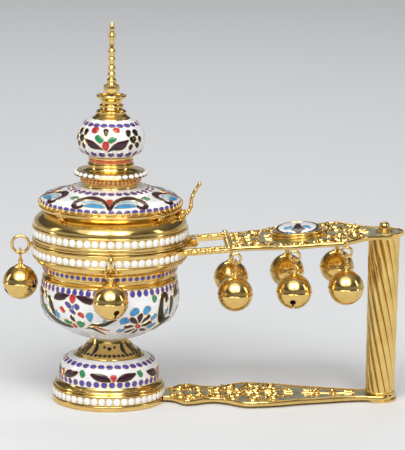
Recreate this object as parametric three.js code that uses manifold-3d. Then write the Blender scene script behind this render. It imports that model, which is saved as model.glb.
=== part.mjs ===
// A hand censer: a footed, lidded bowl on a two-plate handle with an upright grip and nine small bells.
// Millimetres, +Z up. The origin is the centre of the foot, on the surface that the censer stands on.
// +X runs from the bowl to the grip.
import * as THREE from "three";
import { mergeVertices } from "three/addons/utils/BufferGeometryUtils.js";
import Module from "manifold-3d";

const wasm = await Module();
wasm.setup();

// Clearances and the overrun of every cut
const SEAT_GAP = 0.3;
const PIN_CLEARANCE = 0.3;
const ROD_CLEARANCE = 0.6;
const OVERRUN = 5;

// Foot
const FOOT_RADIUS = 35.5;
const FOOT_RIM_HEIGHT = 14;
const FOOT_WALL = 1.2;
const FOOT_PLATE_THICKNESS = 1.2;
const FOOT_DOME_SETBACK = 4;
const FOOT_DOME_HEIGHT = 15.6;
const NECK_HEIGHT = 10.2;
const NECK_TOP_RADIUS = 12.4;

// Bowl: the rim ring sets the width, and each piece below it stands back from the ring
const RING_RADIUS = 49;
const RING_HEIGHT = 8.8;
const RING_WALL = 3;
const BOWL_SETBACK = 5.3;
const BOWL_HEIGHT = 38;
const BOWL_WALL = 1.5;
const COLLAR_SETBACK = 0.6;
const COLLAR_HEIGHT = 14;
const PEARL_CHANNEL_DEPTH = 1.7;
const PEARL_STAND_OUT = 0.2;
const PEARL_HEIGHT = 5;
const RING_PEARL_RISE = 0.7;
const PAN_LIP_SETBACK = 4.7;
const PAN_CLEARANCE = 0.95;
const PAN_DEPTH = 37;
const PAN_WALL = 1;
const STEM_BOLT_RADIUS = 3;
const STEM_HEAD_RADIUS = 6;
const STEM_HEAD_HEIGHT = 2.5;
const STEM_NUT_RADIUS = 6.5;
const STEM_NUT_HEIGHT = 3;

// Lid
const LID_RING_HEIGHT = 19;
const LID_WALL = 1.5;
const LID_PEARL_RISE = 3.6;
const DISC_SETBACK = 4.1;
const DISC_RIM_HEIGHT = 7.4;
const DISC_RIM_WALL = 1.4;
const DISC_HEIGHT = 9.6;
const DISC_TOP_MARGIN = 3.5;
const SCROLL_RADIUS = 2.2;
const SCROLL_WIRE_RADIUS = 0.8;
const SCROLL_COUNT = 4;
const LEVER_BALL_RADIUS = 3.3;
const LEVER_SETBACK = 2.6;
const LEVER_DROP = 0.8;
const LEVER_LENGTH = 20.8;
const LEVER_LEAN_DEG = 28.2;
const LEVER_FOOT_RADIUS = 1.5;
const LEVER_TIP_RADIUS = 1;

// Top of the lid
const PEARL_COLLAR_RADIUS = 23.2;
const PEARL_COLLAR_HEIGHT = 13;
const TOP_WALL = 1.4;
const DRUM_HEIGHT = 4.2;
const KNOB_RADIUS = 21.6;
const KNOB_HEIGHT = 25.2;
const CAP_HEIGHT = 12.4;
const SPIRE_RADIUS = 4.95;
const SPIRE_HEIGHT = 45.3;
const LID_BOLT_RADIUS = 1.5;
const LID_BOLT_GRIP = 4;
const LID_BOLT_HEAD_RADIUS = 7;
const LID_BOLT_HEAD_HEIGHT = 2;

// Hinge between the rim ring and the lid, on the handle side
const HINGE_STAND_OFF = 3.5;
const HINGE_PIN_RADIUS = 1.2;
const KNUCKLE_RADIUS = 2.6;
const KNUCKLE_LENGTH = 5;

// Handle: the upper plate climbs from the rim ring and levels off before the grip
const UPPER_PLATE_RISE = 4.7;
const UPPER_PLATE_LENGTH = 136.5;
const UPPER_PLATE_HALF_WIDTH = 34;
const UPPER_PLATE_THICKNESS = 2.8;
const UPPER_PLATE_SLOPE_DEG = 5;
const UPPER_PLATE_END_SLOPE_DEG = 1.4;
const UPPER_PLATE_BEND_SETBACK = 39.5;
const FORK_LENGTH = 27;
const FORK_HALF_WIDTH = 26;
const FORK_RAIL_WIDTH = 10;
const FORK_BAR_WIDTH = 8;
const LOWER_PLATE_Z = 1.5;
const LOWER_PLATE_HALF_WIDTH = 26;
const LOWER_PLATE_THICKNESS = 3;
const PLATE_EDGE_WIDTH = 2.2;
const PLATE_RECESS = 0.8;
const POST_SETBACK = 12.5;
const POST_TOP_RADIUS = 10;
const POST_BOTTOM_RADIUS = 9.3;
const POST_FLUTES = 13;
const POST_FLUTE_DEPTH = 0.9;
const POST_TWIST_TURNS = -0.43;
const POST_BORE_RADIUS = 6;
const POST_FOOT_RADIUS = 10.4;
const POST_FOOT_HEIGHT = 1.2;
const ROD_RADIUS = 2;
const BALL_NUT_RADIUS = 3.5;
const BALL_WASHER_RADIUS = 5.2;
const BALL_WASHER_HEIGHT = 0.8;
const MEDALLION_RADIUS = 14.3;
const MEDALLION_HEIGHT = 8.1;
const BEZEL_RADIUS = 17;
const BEZEL_HEIGHT = 3.8;

// Bells and their rings
const BELL_RADIUS = 11.3;
const BELL_WALL = 1;
const BELL_SLOT_WIDTH = 1.6;
const BELL_SLOT_RADIUS = 8;
const BELL_HOLE_RADIUS = 1.6;
const BELL_SHANK_RADIUS = 1.5;
const BELL_LOOP_WIRE_RADIUS = 0.8;
const BELL_LOOP_RADIUS = 3.4;
const PELLET_RADIUS = 2.6;
const PLATE_EYE_WIRE_RADIUS = 0.85;
const PLATE_EYE_RADIUS = 3.1;
const PLATE_BELL_DROP = 19.5;
const PLATE_BELL_INSET = 1.2;
const BOWL_EYE_WIRE_RADIUS = 0.95;
const BOWL_EYE_RADIUS = 5.35;
const BOWL_EYE_RISE = 6.2;
const BOWL_EYE_STAND_OFF = 7.3;
const BOWL_BELL_DROP = 19.05;
const BOWL_BELLS = [
  { name: "left", turnDeg: 180 },
  { name: "front", turnDeg: -90 },
  { name: "back", turnDeg: 90 },
];

// Facets round a turned piece, by its size
const LARGE_FACETS = 24;
const MEDIUM_FACETS = 20;
const SMALL_FACETS = 12;
const HIDDEN_FACETS = 8;
const WIRE_FACETS = 5;

// Radii that follow from the rim ring, the foot and the knob
const BOWL_RADIUS = RING_RADIUS - BOWL_SETBACK;
const COLLAR_RADIUS = RING_RADIUS - COLLAR_SETBACK;
const collarWaistShare = 0.84;
const COLLAR_THROAT_RADIUS = COLLAR_RADIUS * collarWaistShare - BOWL_WALL;
const PAN_LIP_RADIUS = RING_RADIUS - PAN_LIP_SETBACK;
const PAN_RADIUS = COLLAR_THROAT_RADIUS - PAN_CLEARANCE;
const DISC_RADIUS = RING_RADIUS - DISC_SETBACK;
const HINGE_X = RING_RADIUS + HINGE_STAND_OFF;
const FOOT_DOME_RADIUS = FOOT_RADIUS - FOOT_DOME_SETBACK;
const domeTopShare = 0.69;
const NECK_RADIUS = FOOT_DOME_RADIUS * domeTopShare;
const knobFootShare = 0.655;
const knobTopShare = 0.57;
const DRUM_RADIUS = KNOB_RADIUS * knobFootShare;
const CAP_RADIUS = KNOB_RADIUS * knobTopShare;
const collarFootShare = 0.755;
const DISC_TOP_RADIUS = PEARL_COLLAR_RADIUS * collarFootShare + DISC_TOP_MARGIN;

// Heights that follow from the pieces below
const DOME_Z = FOOT_RIM_HEIGHT + SEAT_GAP;
const NECK_Z = DOME_Z + FOOT_DOME_HEIGHT + SEAT_GAP;
const BOWL_Z = NECK_Z + NECK_HEIGHT + SEAT_GAP;
const COLLAR_Z = BOWL_Z + BOWL_HEIGHT + SEAT_GAP;
const RING_Z = COLLAR_Z + COLLAR_HEIGHT + SEAT_GAP;
const LID_Z = RING_Z + RING_HEIGHT + SEAT_GAP;
const DISC_RIM_Z = LID_Z + LID_RING_HEIGHT + SEAT_GAP;
const DISC_Z = DISC_RIM_Z + DISC_RIM_HEIGHT + SEAT_GAP;
const PEARL_COLLAR_Z = DISC_Z + DISC_HEIGHT + SEAT_GAP;
const DRUM_Z = PEARL_COLLAR_Z + PEARL_COLLAR_HEIGHT + SEAT_GAP;
const KNOB_Z = DRUM_Z + DRUM_HEIGHT + SEAT_GAP;
const CAP_Z = KNOB_Z + KNOB_HEIGHT + SEAT_GAP;
const SPIRE_Z = CAP_Z + CAP_HEIGHT + SEAT_GAP;
const HINGE_Z = LID_Z - SEAT_GAP / 2;
const BOWL_EYE_Z = RING_Z + BOWL_EYE_RISE;

// Places along the handle
const UPPER_PLATE_SLOPE = THREE.MathUtils.degToRad(UPPER_PLATE_SLOPE_DEG);
const UPPER_PLATE_END_SLOPE = THREE.MathUtils.degToRad(UPPER_PLATE_END_SLOPE_DEG);
const UPPER_PLATE_Z = RING_Z + UPPER_PLATE_RISE;
const UPPER_PLATE_TIP_X = RING_RADIUS + UPPER_PLATE_LENGTH;
const UPPER_PLATE_BEND_X = UPPER_PLATE_TIP_X - UPPER_PLATE_BEND_SETBACK;
const LEAF_START_X = RING_RADIUS + FORK_LENGTH;
const LEAF_LENGTH = UPPER_PLATE_LENGTH - FORK_LENGTH;
const POST_X = UPPER_PLATE_TIP_X - POST_SETBACK;
const medallionShare = 0.51;
const MEDALLION_X = RING_RADIUS + UPPER_PLATE_LENGTH * medallionShare;
const bellStationShares = { inner: 0.212, middle: 0.478, outer: 0.714 };

// Materials, one look for each finish
const finish = (color, roughness, metalness) =>
  new THREE.MeshStandardMaterial({ color, roughness, metalness });
const GILT = finish(0xd8a23a, 0.25, 1);
const WHITE_ENAMEL = finish(0xe9e9ee, 0.15, 0);
const RED_ENAMEL = finish(0xb5242c, 0.2, 0);
const PEARL_ENAMEL = finish(0xf2efe6, 0.25, 0);
const STEEL = finish(0x9a9a9c, 0.4, 1);

const censer = new THREE.Group();

function place(parent, name, geometry, material) {
  const mesh = new THREE.Mesh(geometry, material);
  mesh.name = name;
  parent.add(mesh);
  return mesh;
}

// Solids that can be joined and cut
function solid(geometry) {
  const bare = geometry.clone();
  bare.deleteAttribute("normal");
  bare.deleteAttribute("uv");
  const merged = mergeVertices(bare);
  return new wasm.Manifold(
    new wasm.Mesh({
      numProp: 3,
      vertProperties: new Float32Array(merged.attributes.position.array),
      triVerts: new Uint32Array(merged.index.array),
    }),
  );
}

function geometryOf(shape) {
  const mesh = shape.getMesh();
  const geometry = new THREE.BufferGeometry();
  geometry.setAttribute("position", new THREE.BufferAttribute(new Float32Array(mesh.vertProperties), 3));
  geometry.setIndex(new THREE.BufferAttribute(new Uint32Array(mesh.triVerts), 1));
  geometry.computeVertexNormals();
  return geometry;
}

// A turned piece about Z from an outline of [radius, height] points that runs up the outside
function turned(outline, facets) {
  const closed = [...outline];
  if (outline[0][0] > 0) closed.push(outline[0]);
  const points = closed.map(([r, z]) => new THREE.Vector2(r, z));
  return new THREE.LatheGeometry(points, facets).rotateX(Math.PI / 2);
}

// Points written as shares of a radius and a height, standing on a given level
const spread = (shares, radius, height, base) =>
  shares.map(([r, z]) => [r * radius, base + z * height]);

// The inner face of a wall that follows an outline, offset square to it, from the top back down
function innerFace(outline, wall) {
  const inner = outline.map((point, i) => {
    const before = outline[Math.max(i - 1, 0)];
    const after = outline[Math.min(i + 1, outline.length - 1)];
    const run = Math.hypot(after[0] - before[0], after[1] - before[1]);
    const normal = [(after[1] - before[1]) / run, (before[0] - after[0]) / run];
    return [point[0] - normal[0] * wall, point[1] - normal[1] * wall];
  });
  const level = (i, z) => [inner[i][0], z];
  inner[0] = level(0, outline[0][1]);
  inner[inner.length - 1] = level(inner.length - 1, outline[outline.length - 1][1]);
  return inner.reverse();
}

const shell = (outline, wall) => [...outline, ...innerFace(outline, wall)];

// A bulging wall needs only every other point on its inside
const thinned = (points) => points.filter((point, i) => i % 2 === 0 || i === points.length - 1);

// A round bar between two radii, from one level to another
const bar = (innerRadius, outerRadius, low, high) => [
  [innerRadius, low],
  [outerRadius, low],
  [outerRadius, high],
  [innerRadius, high],
];

const cylinder = (radius, low, high, facets) => turned(bar(0, radius, low, high), facets);

// A ring of round wire about Z
const wireRing = (radius, wireRadius, facets) =>
  new THREE.TorusGeometry(radius, wireRadius, WIRE_FACETS, facets);

// Foot
const footRimShares = [
  [1, 0],
  [1, 0.24],
  [0.95, 0.24],
  [0.95, 0.63],
  [1, 0.63],
  [1, 0.71],
  [0.965, 0.76],
  [0.95, 0.88],
  [0.885, 1],
];
const footDomeShares = [
  [1, 0],
  [0.99, 0.4],
  [0.92, 0.75],
  [0.76, 0.93],
  [domeTopShare, 1],
];
const neckShares = [
  [1, 0],
  [0.86, 0.2],
  [0.755, 0.44],
  [0.63, 0.76],
];

function addFoot() {
  const rim = spread(footRimShares, FOOT_RADIUS, FOOT_RIM_HEIGHT, 0);
  const channelRadius = rim[2][0];
  const innerRadius = channelRadius - FOOT_WALL;
  const top = rim[rim.length - 1];
  const inner = [
    [top[0] - FOOT_WALL, top[1]],
    [innerRadius, rim[6][1]],
    [innerRadius, 0],
  ];
  place(censer, "foot_rim", turned([...rim, ...inner], LARGE_FACETS), GILT);
  const pearls = bar(
    channelRadius + SEAT_GAP,
    FOOT_RADIUS,
    rim[1][1] + SEAT_GAP,
    rim[4][1] - SEAT_GAP,
  );
  place(censer, "foot_pearl_band", turned(pearls, LARGE_FACETS), PEARL_ENAMEL);
  const plate = cylinder(innerRadius - SEAT_GAP, 0, FOOT_PLATE_THICKNESS, LARGE_FACETS);
  place(censer, "foot_base_plate", plate, GILT);
  addFootDome();
  addNeck();
}

function addFootDome() {
  const outer = spread(footDomeShares, FOOT_DOME_RADIUS, FOOT_DOME_HEIGHT, DOME_Z);
  const top = DOME_Z + FOOT_DOME_HEIGHT;
  const hole = STEM_BOLT_RADIUS + ROD_CLEARANCE;
  const inner = innerFace(outer, FOOT_WALL);
  const profile = [...outer, [hole, top], [hole, top - FOOT_WALL], ...inner.slice(1)];
  place(censer, "foot_dome", turned(profile, LARGE_FACETS), WHITE_ENAMEL);
}

function addNeck() {
  const flank = spread(neckShares, NECK_RADIUS, NECK_HEIGHT, NECK_Z);
  const outer = [...flank, [NECK_TOP_RADIUS, NECK_Z + NECK_HEIGHT]];
  place(censer, "foot_neck", turned(shell(outer, FOOT_WALL), MEDIUM_FACETS), GILT);
}

function addStemBolt() {
  const seat = BOWL_Z + BOWL_WALL + SEAT_GAP;
  const nutTop = NECK_Z - 2 * SEAT_GAP - FOOT_WALL;
  const nutBottom = nutTop - STEM_NUT_HEIGHT;
  const bolt = [
    [0, nutBottom - STEM_BOLT_RADIUS],
    [STEM_BOLT_RADIUS, nutBottom - STEM_BOLT_RADIUS],
    [STEM_BOLT_RADIUS, seat],
    [STEM_HEAD_RADIUS, seat],
    [STEM_HEAD_RADIUS, seat + STEM_HEAD_HEIGHT],
    [0, seat + STEM_HEAD_HEIGHT],
  ];
  place(censer, "stem_bolt", turned(bolt, SMALL_FACETS), STEEL);
  const hexagon = cylinder(STEM_NUT_RADIUS, nutBottom, nutTop, 6);
  const thread = cylinder(
    STEM_BOLT_RADIUS + PIN_CLEARANCE,
    nutBottom - OVERRUN,
    nutTop + OVERRUN,
    SMALL_FACETS,
  );
  place(censer, "stem_nut", geometryOf(solid(hexagon).subtract(solid(thread))), STEEL);
}

// Bowl
const bowlShares = [
  [0.38, 0.045],
  [0.54, 0.1],
  [0.65, 0.17],
  [0.725, 0.22],
  [0.835, 0.3],
  [0.91, 0.37],
  [0.965, 0.48],
  [0.993, 0.6],
  [1, 0.77],
  [0.985, 0.9],
  [0.965, 1],
];
const collarShares = [
  [0.87, 0],
  [0.878, 0.09],
  [collarWaistShare, 0.22],
  [collarWaistShare, 0.31],
  [0.874, 0.4],
  [0.874, 0.64],
  [0.858, 0.69],
  [0.96, 0.78],
  [1, 1],
];

function addBowl() {
  const flank = spread(bowlShares, BOWL_RADIUS, BOWL_HEIGHT, BOWL_Z);
  const outer = [[NECK_TOP_RADIUS, BOWL_Z], ...flank];
  const inner = innerFace(outer, BOWL_WALL);
  const floor = BOWL_Z + BOWL_WALL;
  const hole = STEM_BOLT_RADIUS + ROD_CLEARANCE;
  const walls = thinned(inner.slice(0, -2));
  const profile = [[hole, BOWL_Z], ...outer, ...walls, [NECK_TOP_RADIUS, floor], [hole, floor]];
  place(censer, "bowl", turned(profile, LARGE_FACETS), WHITE_ENAMEL);
}

const PAN_LIP_Z = COLLAR_Z + COLLAR_HEIGHT - PAN_WALL - SEAT_GAP;

// The collar is stepped inside, so that the lip of the coal pan has a ledge to lie on
function addBowlCollar() {
  const outer = spread(collarShares, COLLAR_RADIUS, COLLAR_HEIGHT, COLLAR_Z);
  const ledge = PAN_LIP_Z - SEAT_GAP;
  const recess = PAN_LIP_RADIUS + SEAT_GAP;
  const inner = [
    [recess, COLLAR_Z + COLLAR_HEIGHT],
    [recess, ledge],
    [COLLAR_THROAT_RADIUS, ledge],
    [COLLAR_THROAT_RADIUS, COLLAR_Z],
  ];
  place(censer, "bowl_collar", turned([...outer, ...inner], LARGE_FACETS), GILT);
}

// A ring with a channel for pearls between two beads
function channelled(base, rise, height) {
  const channel = RING_RADIUS - PEARL_CHANNEL_DEPTH;
  const low = base + rise;
  const high = low + PEARL_HEIGHT + 2 * SEAT_GAP;
  return [
    [RING_RADIUS, base],
    [RING_RADIUS, low],
    [channel, low],
    [channel, high],
    [RING_RADIUS, high],
    [RING_RADIUS, base + height],
  ];
}

function pearlBand(base, rise) {
  const low = base + rise + SEAT_GAP;
  const inner = RING_RADIUS - PEARL_CHANNEL_DEPTH + SEAT_GAP;
  return turned(bar(inner, RING_RADIUS + PEARL_STAND_OUT, low, low + PEARL_HEIGHT), LARGE_FACETS);
}

// One hinge knuckle about Y, with a leaf that reaches back into the ring that carries it
function knuckle(middleY, leafLow, leafHigh) {
  const length = KNUCKLE_LENGTH;
  const eye = turned(bar(0, KNUCKLE_RADIUS, -length / 2, length / 2), SMALL_FACETS);
  eye.rotateX(Math.PI / 2).translate(HINGE_X, middleY, HINGE_Z);
  const reach = HINGE_X - RING_RADIUS + RING_WALL / 2;
  const leaf = new THREE.BoxGeometry(reach, length, leafHigh - leafLow);
  leaf.translate(HINGE_X - reach / 2, middleY, (leafLow + leafHigh) / 2);
  const boreRadius = HINGE_PIN_RADIUS + PIN_CLEARANCE;
  const bore = turned(bar(0, boreRadius, -length / 2 - OVERRUN, length / 2 + OVERRUN), SMALL_FACETS);
  bore.rotateX(Math.PI / 2).translate(HINGE_X, middleY, HINGE_Z);
  return solid(eye).add(solid(leaf)).subtract(solid(bore));
}

const KNUCKLE_PITCH = KNUCKLE_LENGTH + SEAT_GAP;

function addRimRing() {
  const outer = channelled(RING_Z, RING_PEARL_RISE, RING_HEIGHT);
  const inner = RING_RADIUS - RING_WALL;
  const profile = [...outer, [inner, RING_Z + RING_HEIGHT], [inner, RING_Z]];
  let ring = solid(turned(profile, LARGE_FACETS));
  const beadLow = outer[4][1];
  const beadHigh = outer[5][1];
  for (const side of [-1, 1]) {
    ring = ring.add(knuckle(side * KNUCKLE_PITCH, beadLow, beadHigh));
  }
  place(censer, "bowl_rim_ring", geometryOf(ring), GILT);
  place(censer, "bowl_pearl_band", pearlBand(RING_Z, RING_PEARL_RISE), PEARL_ENAMEL);
}

function addHingePin() {
  const half = 1.5 * KNUCKLE_LENGTH + SEAT_GAP;
  const pin = cylinder(HINGE_PIN_RADIUS, -half, half, SMALL_FACETS);
  pin.rotateX(Math.PI / 2);
  place(censer, "hinge_pin", pin, STEEL).position.set(HINGE_X, 0, HINGE_Z);
}

// The pan's round bottom hangs clear of the bowl
const panShares = [
  [0.62, 0],
  [0.86, 0.1],
  [0.97, 0.32],
  [1, 0.6],
  [1, 1],
];

function addCoalPan() {
  const outer = spread(panShares, PAN_RADIUS, PAN_DEPTH, PAN_LIP_Z - PAN_DEPTH);
  const inner = innerFace(outer, PAN_WALL);
  const bottom = outer[0][1];
  const profile = [
    [0, bottom],
    ...outer,
    [PAN_LIP_RADIUS, PAN_LIP_Z],
    [PAN_LIP_RADIUS, PAN_LIP_Z + PAN_WALL],
    [inner[0][0], PAN_LIP_Z + PAN_WALL],
    ...inner.slice(1, -1),
    [inner[inner.length - 1][0], bottom + PAN_WALL],
    [0, bottom + PAN_WALL],
  ];
  place(censer, "coal_pan", turned(profile, LARGE_FACETS), STEEL);
}

// Lid
const shoulderShares = [
  [0.98, 0.66],
  [0.955, 0.79],
  [0.9, 0.9],
  [0.84, 0.97],
  [0.825, 1],
];
const discRimShares = [
  [0.91, 0],
  [0.99, 0.5],
  [1, 0.62],
  [1, 1],
];
const discShares = [
  [0.97, 0],
  [0.965, 0.1],
  [0.91, 0.27],
  [0.757, 0.56],
  [0.58, 0.9],
];

const lid = new THREE.Group();
censer.add(lid);

function lidOutline() {
  const height = PEARL_HEIGHT + 2 * SEAT_GAP + LID_PEARL_RISE + RING_HEIGHT / 10;
  const ring = channelled(LID_Z, LID_PEARL_RISE, height);
  return [...ring, ...spread(shoulderShares, RING_RADIUS, LID_RING_HEIGHT, LID_Z)];
}

function addLidShell() {
  const outer = lidOutline();
  const top = LID_Z + LID_RING_HEIGHT;
  const ringInner = RING_RADIUS - RING_WALL;
  const shoulder = outer.slice(6);
  const inner = innerFace(shoulder, LID_WALL).slice(0, -1);
  const profile = [
    ...outer,
    [inner[0][0], top],
    ...inner.slice(1),
    [ringInner, outer[5][1]],
    [ringInner, LID_Z],
  ];
  const hinge = knuckle(0, LID_Z, LID_Z + LID_PEARL_RISE);
  const body = solid(turned(profile, LARGE_FACETS)).add(hinge);
  place(lid, "lid_shell", geometryOf(body), GILT);
  place(lid, "lid_pearl_band", pearlBand(LID_Z, LID_PEARL_RISE), PEARL_ENAMEL);
}

const discRimOutline = () => spread(discRimShares, DISC_RADIUS, DISC_RIM_HEIGHT, DISC_RIM_Z);

// Four small scrolls hang under the gold rim of the disc, each a ring of wire in an upright plane
function addDiscRim() {
  const outer = discRimOutline();
  let rim = solid(turned(shell(outer, DISC_RIM_WALL), LARGE_FACETS));
  for (let i = 0; i < SCROLL_COUNT; i++) {
    const angle = ((i + 0.5) * 2 * Math.PI) / SCROLL_COUNT;
    const scroll = wireRing(SCROLL_RADIUS, SCROLL_WIRE_RADIUS, HIDDEN_FACETS);
    scroll.rotateX(Math.PI / 2);
    scroll.translate(DISC_RADIUS, 0, outer[0][1] + SCROLL_RADIUS);
    scroll.rotateZ(angle);
    rim = rim.add(solid(scroll));
  }
  place(lid, "lid_disc_rim", geometryOf(rim), GILT);
}

function addDisc() {
  const outer = spread(discShares, DISC_RADIUS, DISC_HEIGHT, DISC_Z);
  const top = DISC_Z + DISC_HEIGHT;
  const hole = LID_BOLT_RADIUS + ROD_CLEARANCE;
  const inner = innerFace(outer, TOP_WALL);
  const profile = [
    ...outer,
    [DISC_TOP_RADIUS, top],
    [hole, top],
    [hole, top - TOP_WALL],
    [DISC_TOP_RADIUS, top - TOP_WALL],
    ...inner.slice(1),
  ];
  place(lid, "lid_disc", turned(profile, LARGE_FACETS), WHITE_ENAMEL);
}

// The lever's foot is a ball cut to sit on the lid's shoulder, under a tapered rod that leans outward
function addThumbLever() {
  const footX = RING_RADIUS - LEVER_SETBACK;
  const footZ = DISC_RIM_Z - LEVER_DROP;
  const rod = turned(
    [
      [0, 0],
      [LEVER_FOOT_RADIUS, 0],
      [LEVER_TIP_RADIUS, LEVER_LENGTH - LEVER_TIP_RADIUS],
      [0, LEVER_LENGTH],
    ],
    SMALL_FACETS,
  );
  rod.rotateY(THREE.MathUtils.degToRad(LEVER_LEAN_DEG)).translate(footX, 0, footZ);
  const ball = ballGeometry(LEVER_BALL_RADIUS, SMALL_FACETS);
  ball.translate(footX, 0, footZ);
  let lever = solid(rod).add(solid(ball));
  lever = lever.subtract(solid(clearedCore(lidOutline())));
  lever = lever.subtract(solid(clearedCore(discRimOutline())));
  place(lid, "thumb_lever", geometryOf(lever), GILT);
}

// The full body inside an outline, grown by the seat gap
function clearedCore(outline) {
  const grown = innerFace(outline, -SEAT_GAP).reverse();
  const low = outline[0][1] - SEAT_GAP;
  const high = outline[outline.length - 1][1] + SEAT_GAP;
  const ends = [grown[0][0], grown[grown.length - 1][0]];
  const wall = grown.slice(1, -1);
  return turned([[0, low], [ends[0], low], ...wall, [ends[1], high], [0, high]], LARGE_FACETS);
}

// Pearl collar, drum, knob, cap and spire stand on each other, clamped by the lid bolt
const pearlCollarShares = [
  [collarFootShare, 0],
  [collarFootShare, 0.09],
  [0.86, 0.25],
  [1, 0.5],
  [0.975, 0.59],
  [0.78, 0.65],
  [0.6, 0.7],
];
const knobShares = [
  [knobFootShare, 0],
  [0.745, 0.03],
  [0.875, 0.14],
  [0.968, 0.3],
  [1, 0.49],
  [0.977, 0.71],
  [0.875, 0.84],
  [0.745, 0.93],
  [knobTopShare, 1],
];
const capShares = [
  [1, 0],
  [0.9, 0.1],
  [0.6, 0.28],
  [0.57, 0.44],
  [0.63, 0.64],
  [0.8, 0.88],
  [0.8, 0.96],
  [0.7, 1],
];
const spireShares = [
  [0.57, 0],
  [0.57, 0.035],
  [1, 0.042],
  [1, 0.12],
  [0.8, 0.145],
  [0.6, 0.16],
  [0.58, 0.2],
  [0.38, 0.3],
  [0.5, 0.355],
  [0.37, 0.42],
  [0.46, 0.48],
  [0.36, 0.53],
  [0.47, 0.59],
  [0.29, 0.69],
  [0.48, 0.79],
  [0.32, 0.875],
  [0.3, 0.92],
];

function addLidTop() {
  const flank = spread(pearlCollarShares, PEARL_COLLAR_RADIUS, PEARL_COLLAR_HEIGHT, PEARL_COLLAR_Z);
  const collar = [...flank, [DRUM_RADIUS, PEARL_COLLAR_Z + PEARL_COLLAR_HEIGHT]];
  place(lid, "pearl_collar", turned(shell(collar, TOP_WALL), MEDIUM_FACETS), GILT);
  const drum = bar(DRUM_RADIUS - TOP_WALL, DRUM_RADIUS, DRUM_Z, DRUM_Z + DRUM_HEIGHT);
  place(lid, "red_drum", turned(drum, MEDIUM_FACETS), RED_ENAMEL);
  const knob = spread(knobShares, KNOB_RADIUS, KNOB_HEIGHT, KNOB_Z);
  const knobWall = [...knob, ...thinned(innerFace(knob, TOP_WALL))];
  place(lid, "knob", turned(knobWall, MEDIUM_FACETS), WHITE_ENAMEL);
  const hole = LID_BOLT_RADIUS + PIN_CLEARANCE;
  const cap = spread(capShares, CAP_RADIUS, CAP_HEIGHT, CAP_Z);
  const capProfile = [...cap, [hole, CAP_Z + CAP_HEIGHT], [hole, CAP_Z]];
  place(lid, "knob_cap", turned(capProfile, MEDIUM_FACETS), GILT);
  const boltTop = SPIRE_Z + LID_BOLT_GRIP;
  const spire = [
    [hole, SPIRE_Z],
    ...spread(spireShares, SPIRE_RADIUS, SPIRE_HEIGHT, SPIRE_Z),
    [0, SPIRE_Z + SPIRE_HEIGHT],
    [0, boltTop + SEAT_GAP],
    [hole, boltTop + SEAT_GAP],
    [hole, SPIRE_Z],
  ];
  place(lid, "spire", openEnded(spire, SMALL_FACETS), GILT);
  addLidBolt(boltTop);
}

// A turned piece whose outline starts away from the axis and is already closed
function openEnded(outline, facets) {
  const points = outline.map(([r, z]) => new THREE.Vector2(r, z));
  return new THREE.LatheGeometry(points, facets).rotateX(Math.PI / 2);
}

function addLidBolt(boltTop) {
  const seat = DISC_Z + DISC_HEIGHT - TOP_WALL - SEAT_GAP;
  const bolt = [
    [0, seat - LID_BOLT_HEAD_HEIGHT],
    [LID_BOLT_HEAD_RADIUS, seat - LID_BOLT_HEAD_HEIGHT],
    [LID_BOLT_HEAD_RADIUS, seat],
    [LID_BOLT_RADIUS, seat],
    [LID_BOLT_RADIUS, boltTop],
    [0, boltTop],
  ];
  place(lid, "lid_bolt", turned(bolt, SMALL_FACETS), STEEL);
}

// Handle plates: half widths along the leaf, as shares of its length and of its half width
const upperPlateShares = [
  [0, 0.7],
  [0.055, 0.71],
  [0.11, 0.73],
  [0.17, 0.78],
  [0.256, 0.88],
  [0.347, 0.95],
  [0.484, 0.95],
  [0.543, 0.97],
  [0.6, 1],
  [0.64, 0.97],
  [0.685, 0.83],
  [0.745, 0.62],
  [0.804, 0.5],
  [0.863, 0.42],
  [0.922, 0.37],
  [0.968, 0.24],
  [1, 0],
];
const lowerPlateShares = [
  [0, 0.42],
  [0.045, 0.5],
  [0.09, 0.8],
  [0.14, 0.74],
  [0.2, 0.58],
  [0.26, 0.66],
  [0.34, 0.98],
  [0.42, 0.96],
  [0.5, 0.86],
  [0.58, 0.7],
  [0.68, 0.56],
  [0.79, 0.4],
  [0.86, 0.36],
  [0.92, 0.42],
  [0.965, 0.34],
  [1, 0],
];

// The outline of a leaf symmetric about X, from one side round the tip to the other, drawn in by an inset
function leafShape(shares, startX, length, halfWidth, inset) {
  const side = shares.map(([x, y]) => new THREE.Vector2(startX + x * length, y * halfWidth));
  const drawnIn = side.map((point, i) => {
    const before = side[Math.max(i - 1, 0)];
    const after = side[Math.min(i + 1, side.length - 1)];
    const along = after.clone().sub(before).normalize();
    const moved = new THREE.Vector2(point.x + along.y * inset, point.y - along.x * inset);
    return moved;
  });
  const last = drawnIn.length - 1;
  drawnIn[0].x = side[0].x + inset;
  drawnIn[last].set(side[last].x - inset, 0);
  const edge = drawnIn.filter((point, i) => point.y > 0 || i === last);
  const mirrored = edge.slice(0, -1).map((point) => new THREE.Vector2(point.x, -point.y));
  return new THREE.Shape([...edge, ...mirrored.reverse()]);
}

// A leaf plate with a raised edge round a shallow recess
function leafPlate(shares, startX, length, halfWidth, thickness) {
  const blank = new THREE.ExtrudeGeometry(leafShape(shares, startX, length, halfWidth, 0), {
    depth: thickness,
    bevelEnabled: false,
  });
  const recess = new THREE.ExtrudeGeometry(
    leafShape(shares, startX, length, halfWidth, PLATE_EDGE_WIDTH),
    { depth: thickness, bevelEnabled: false },
  );
  recess.translate(0, 0, thickness - PLATE_RECESS);
  return solid(blank).subtract(solid(recess));
}

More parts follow.
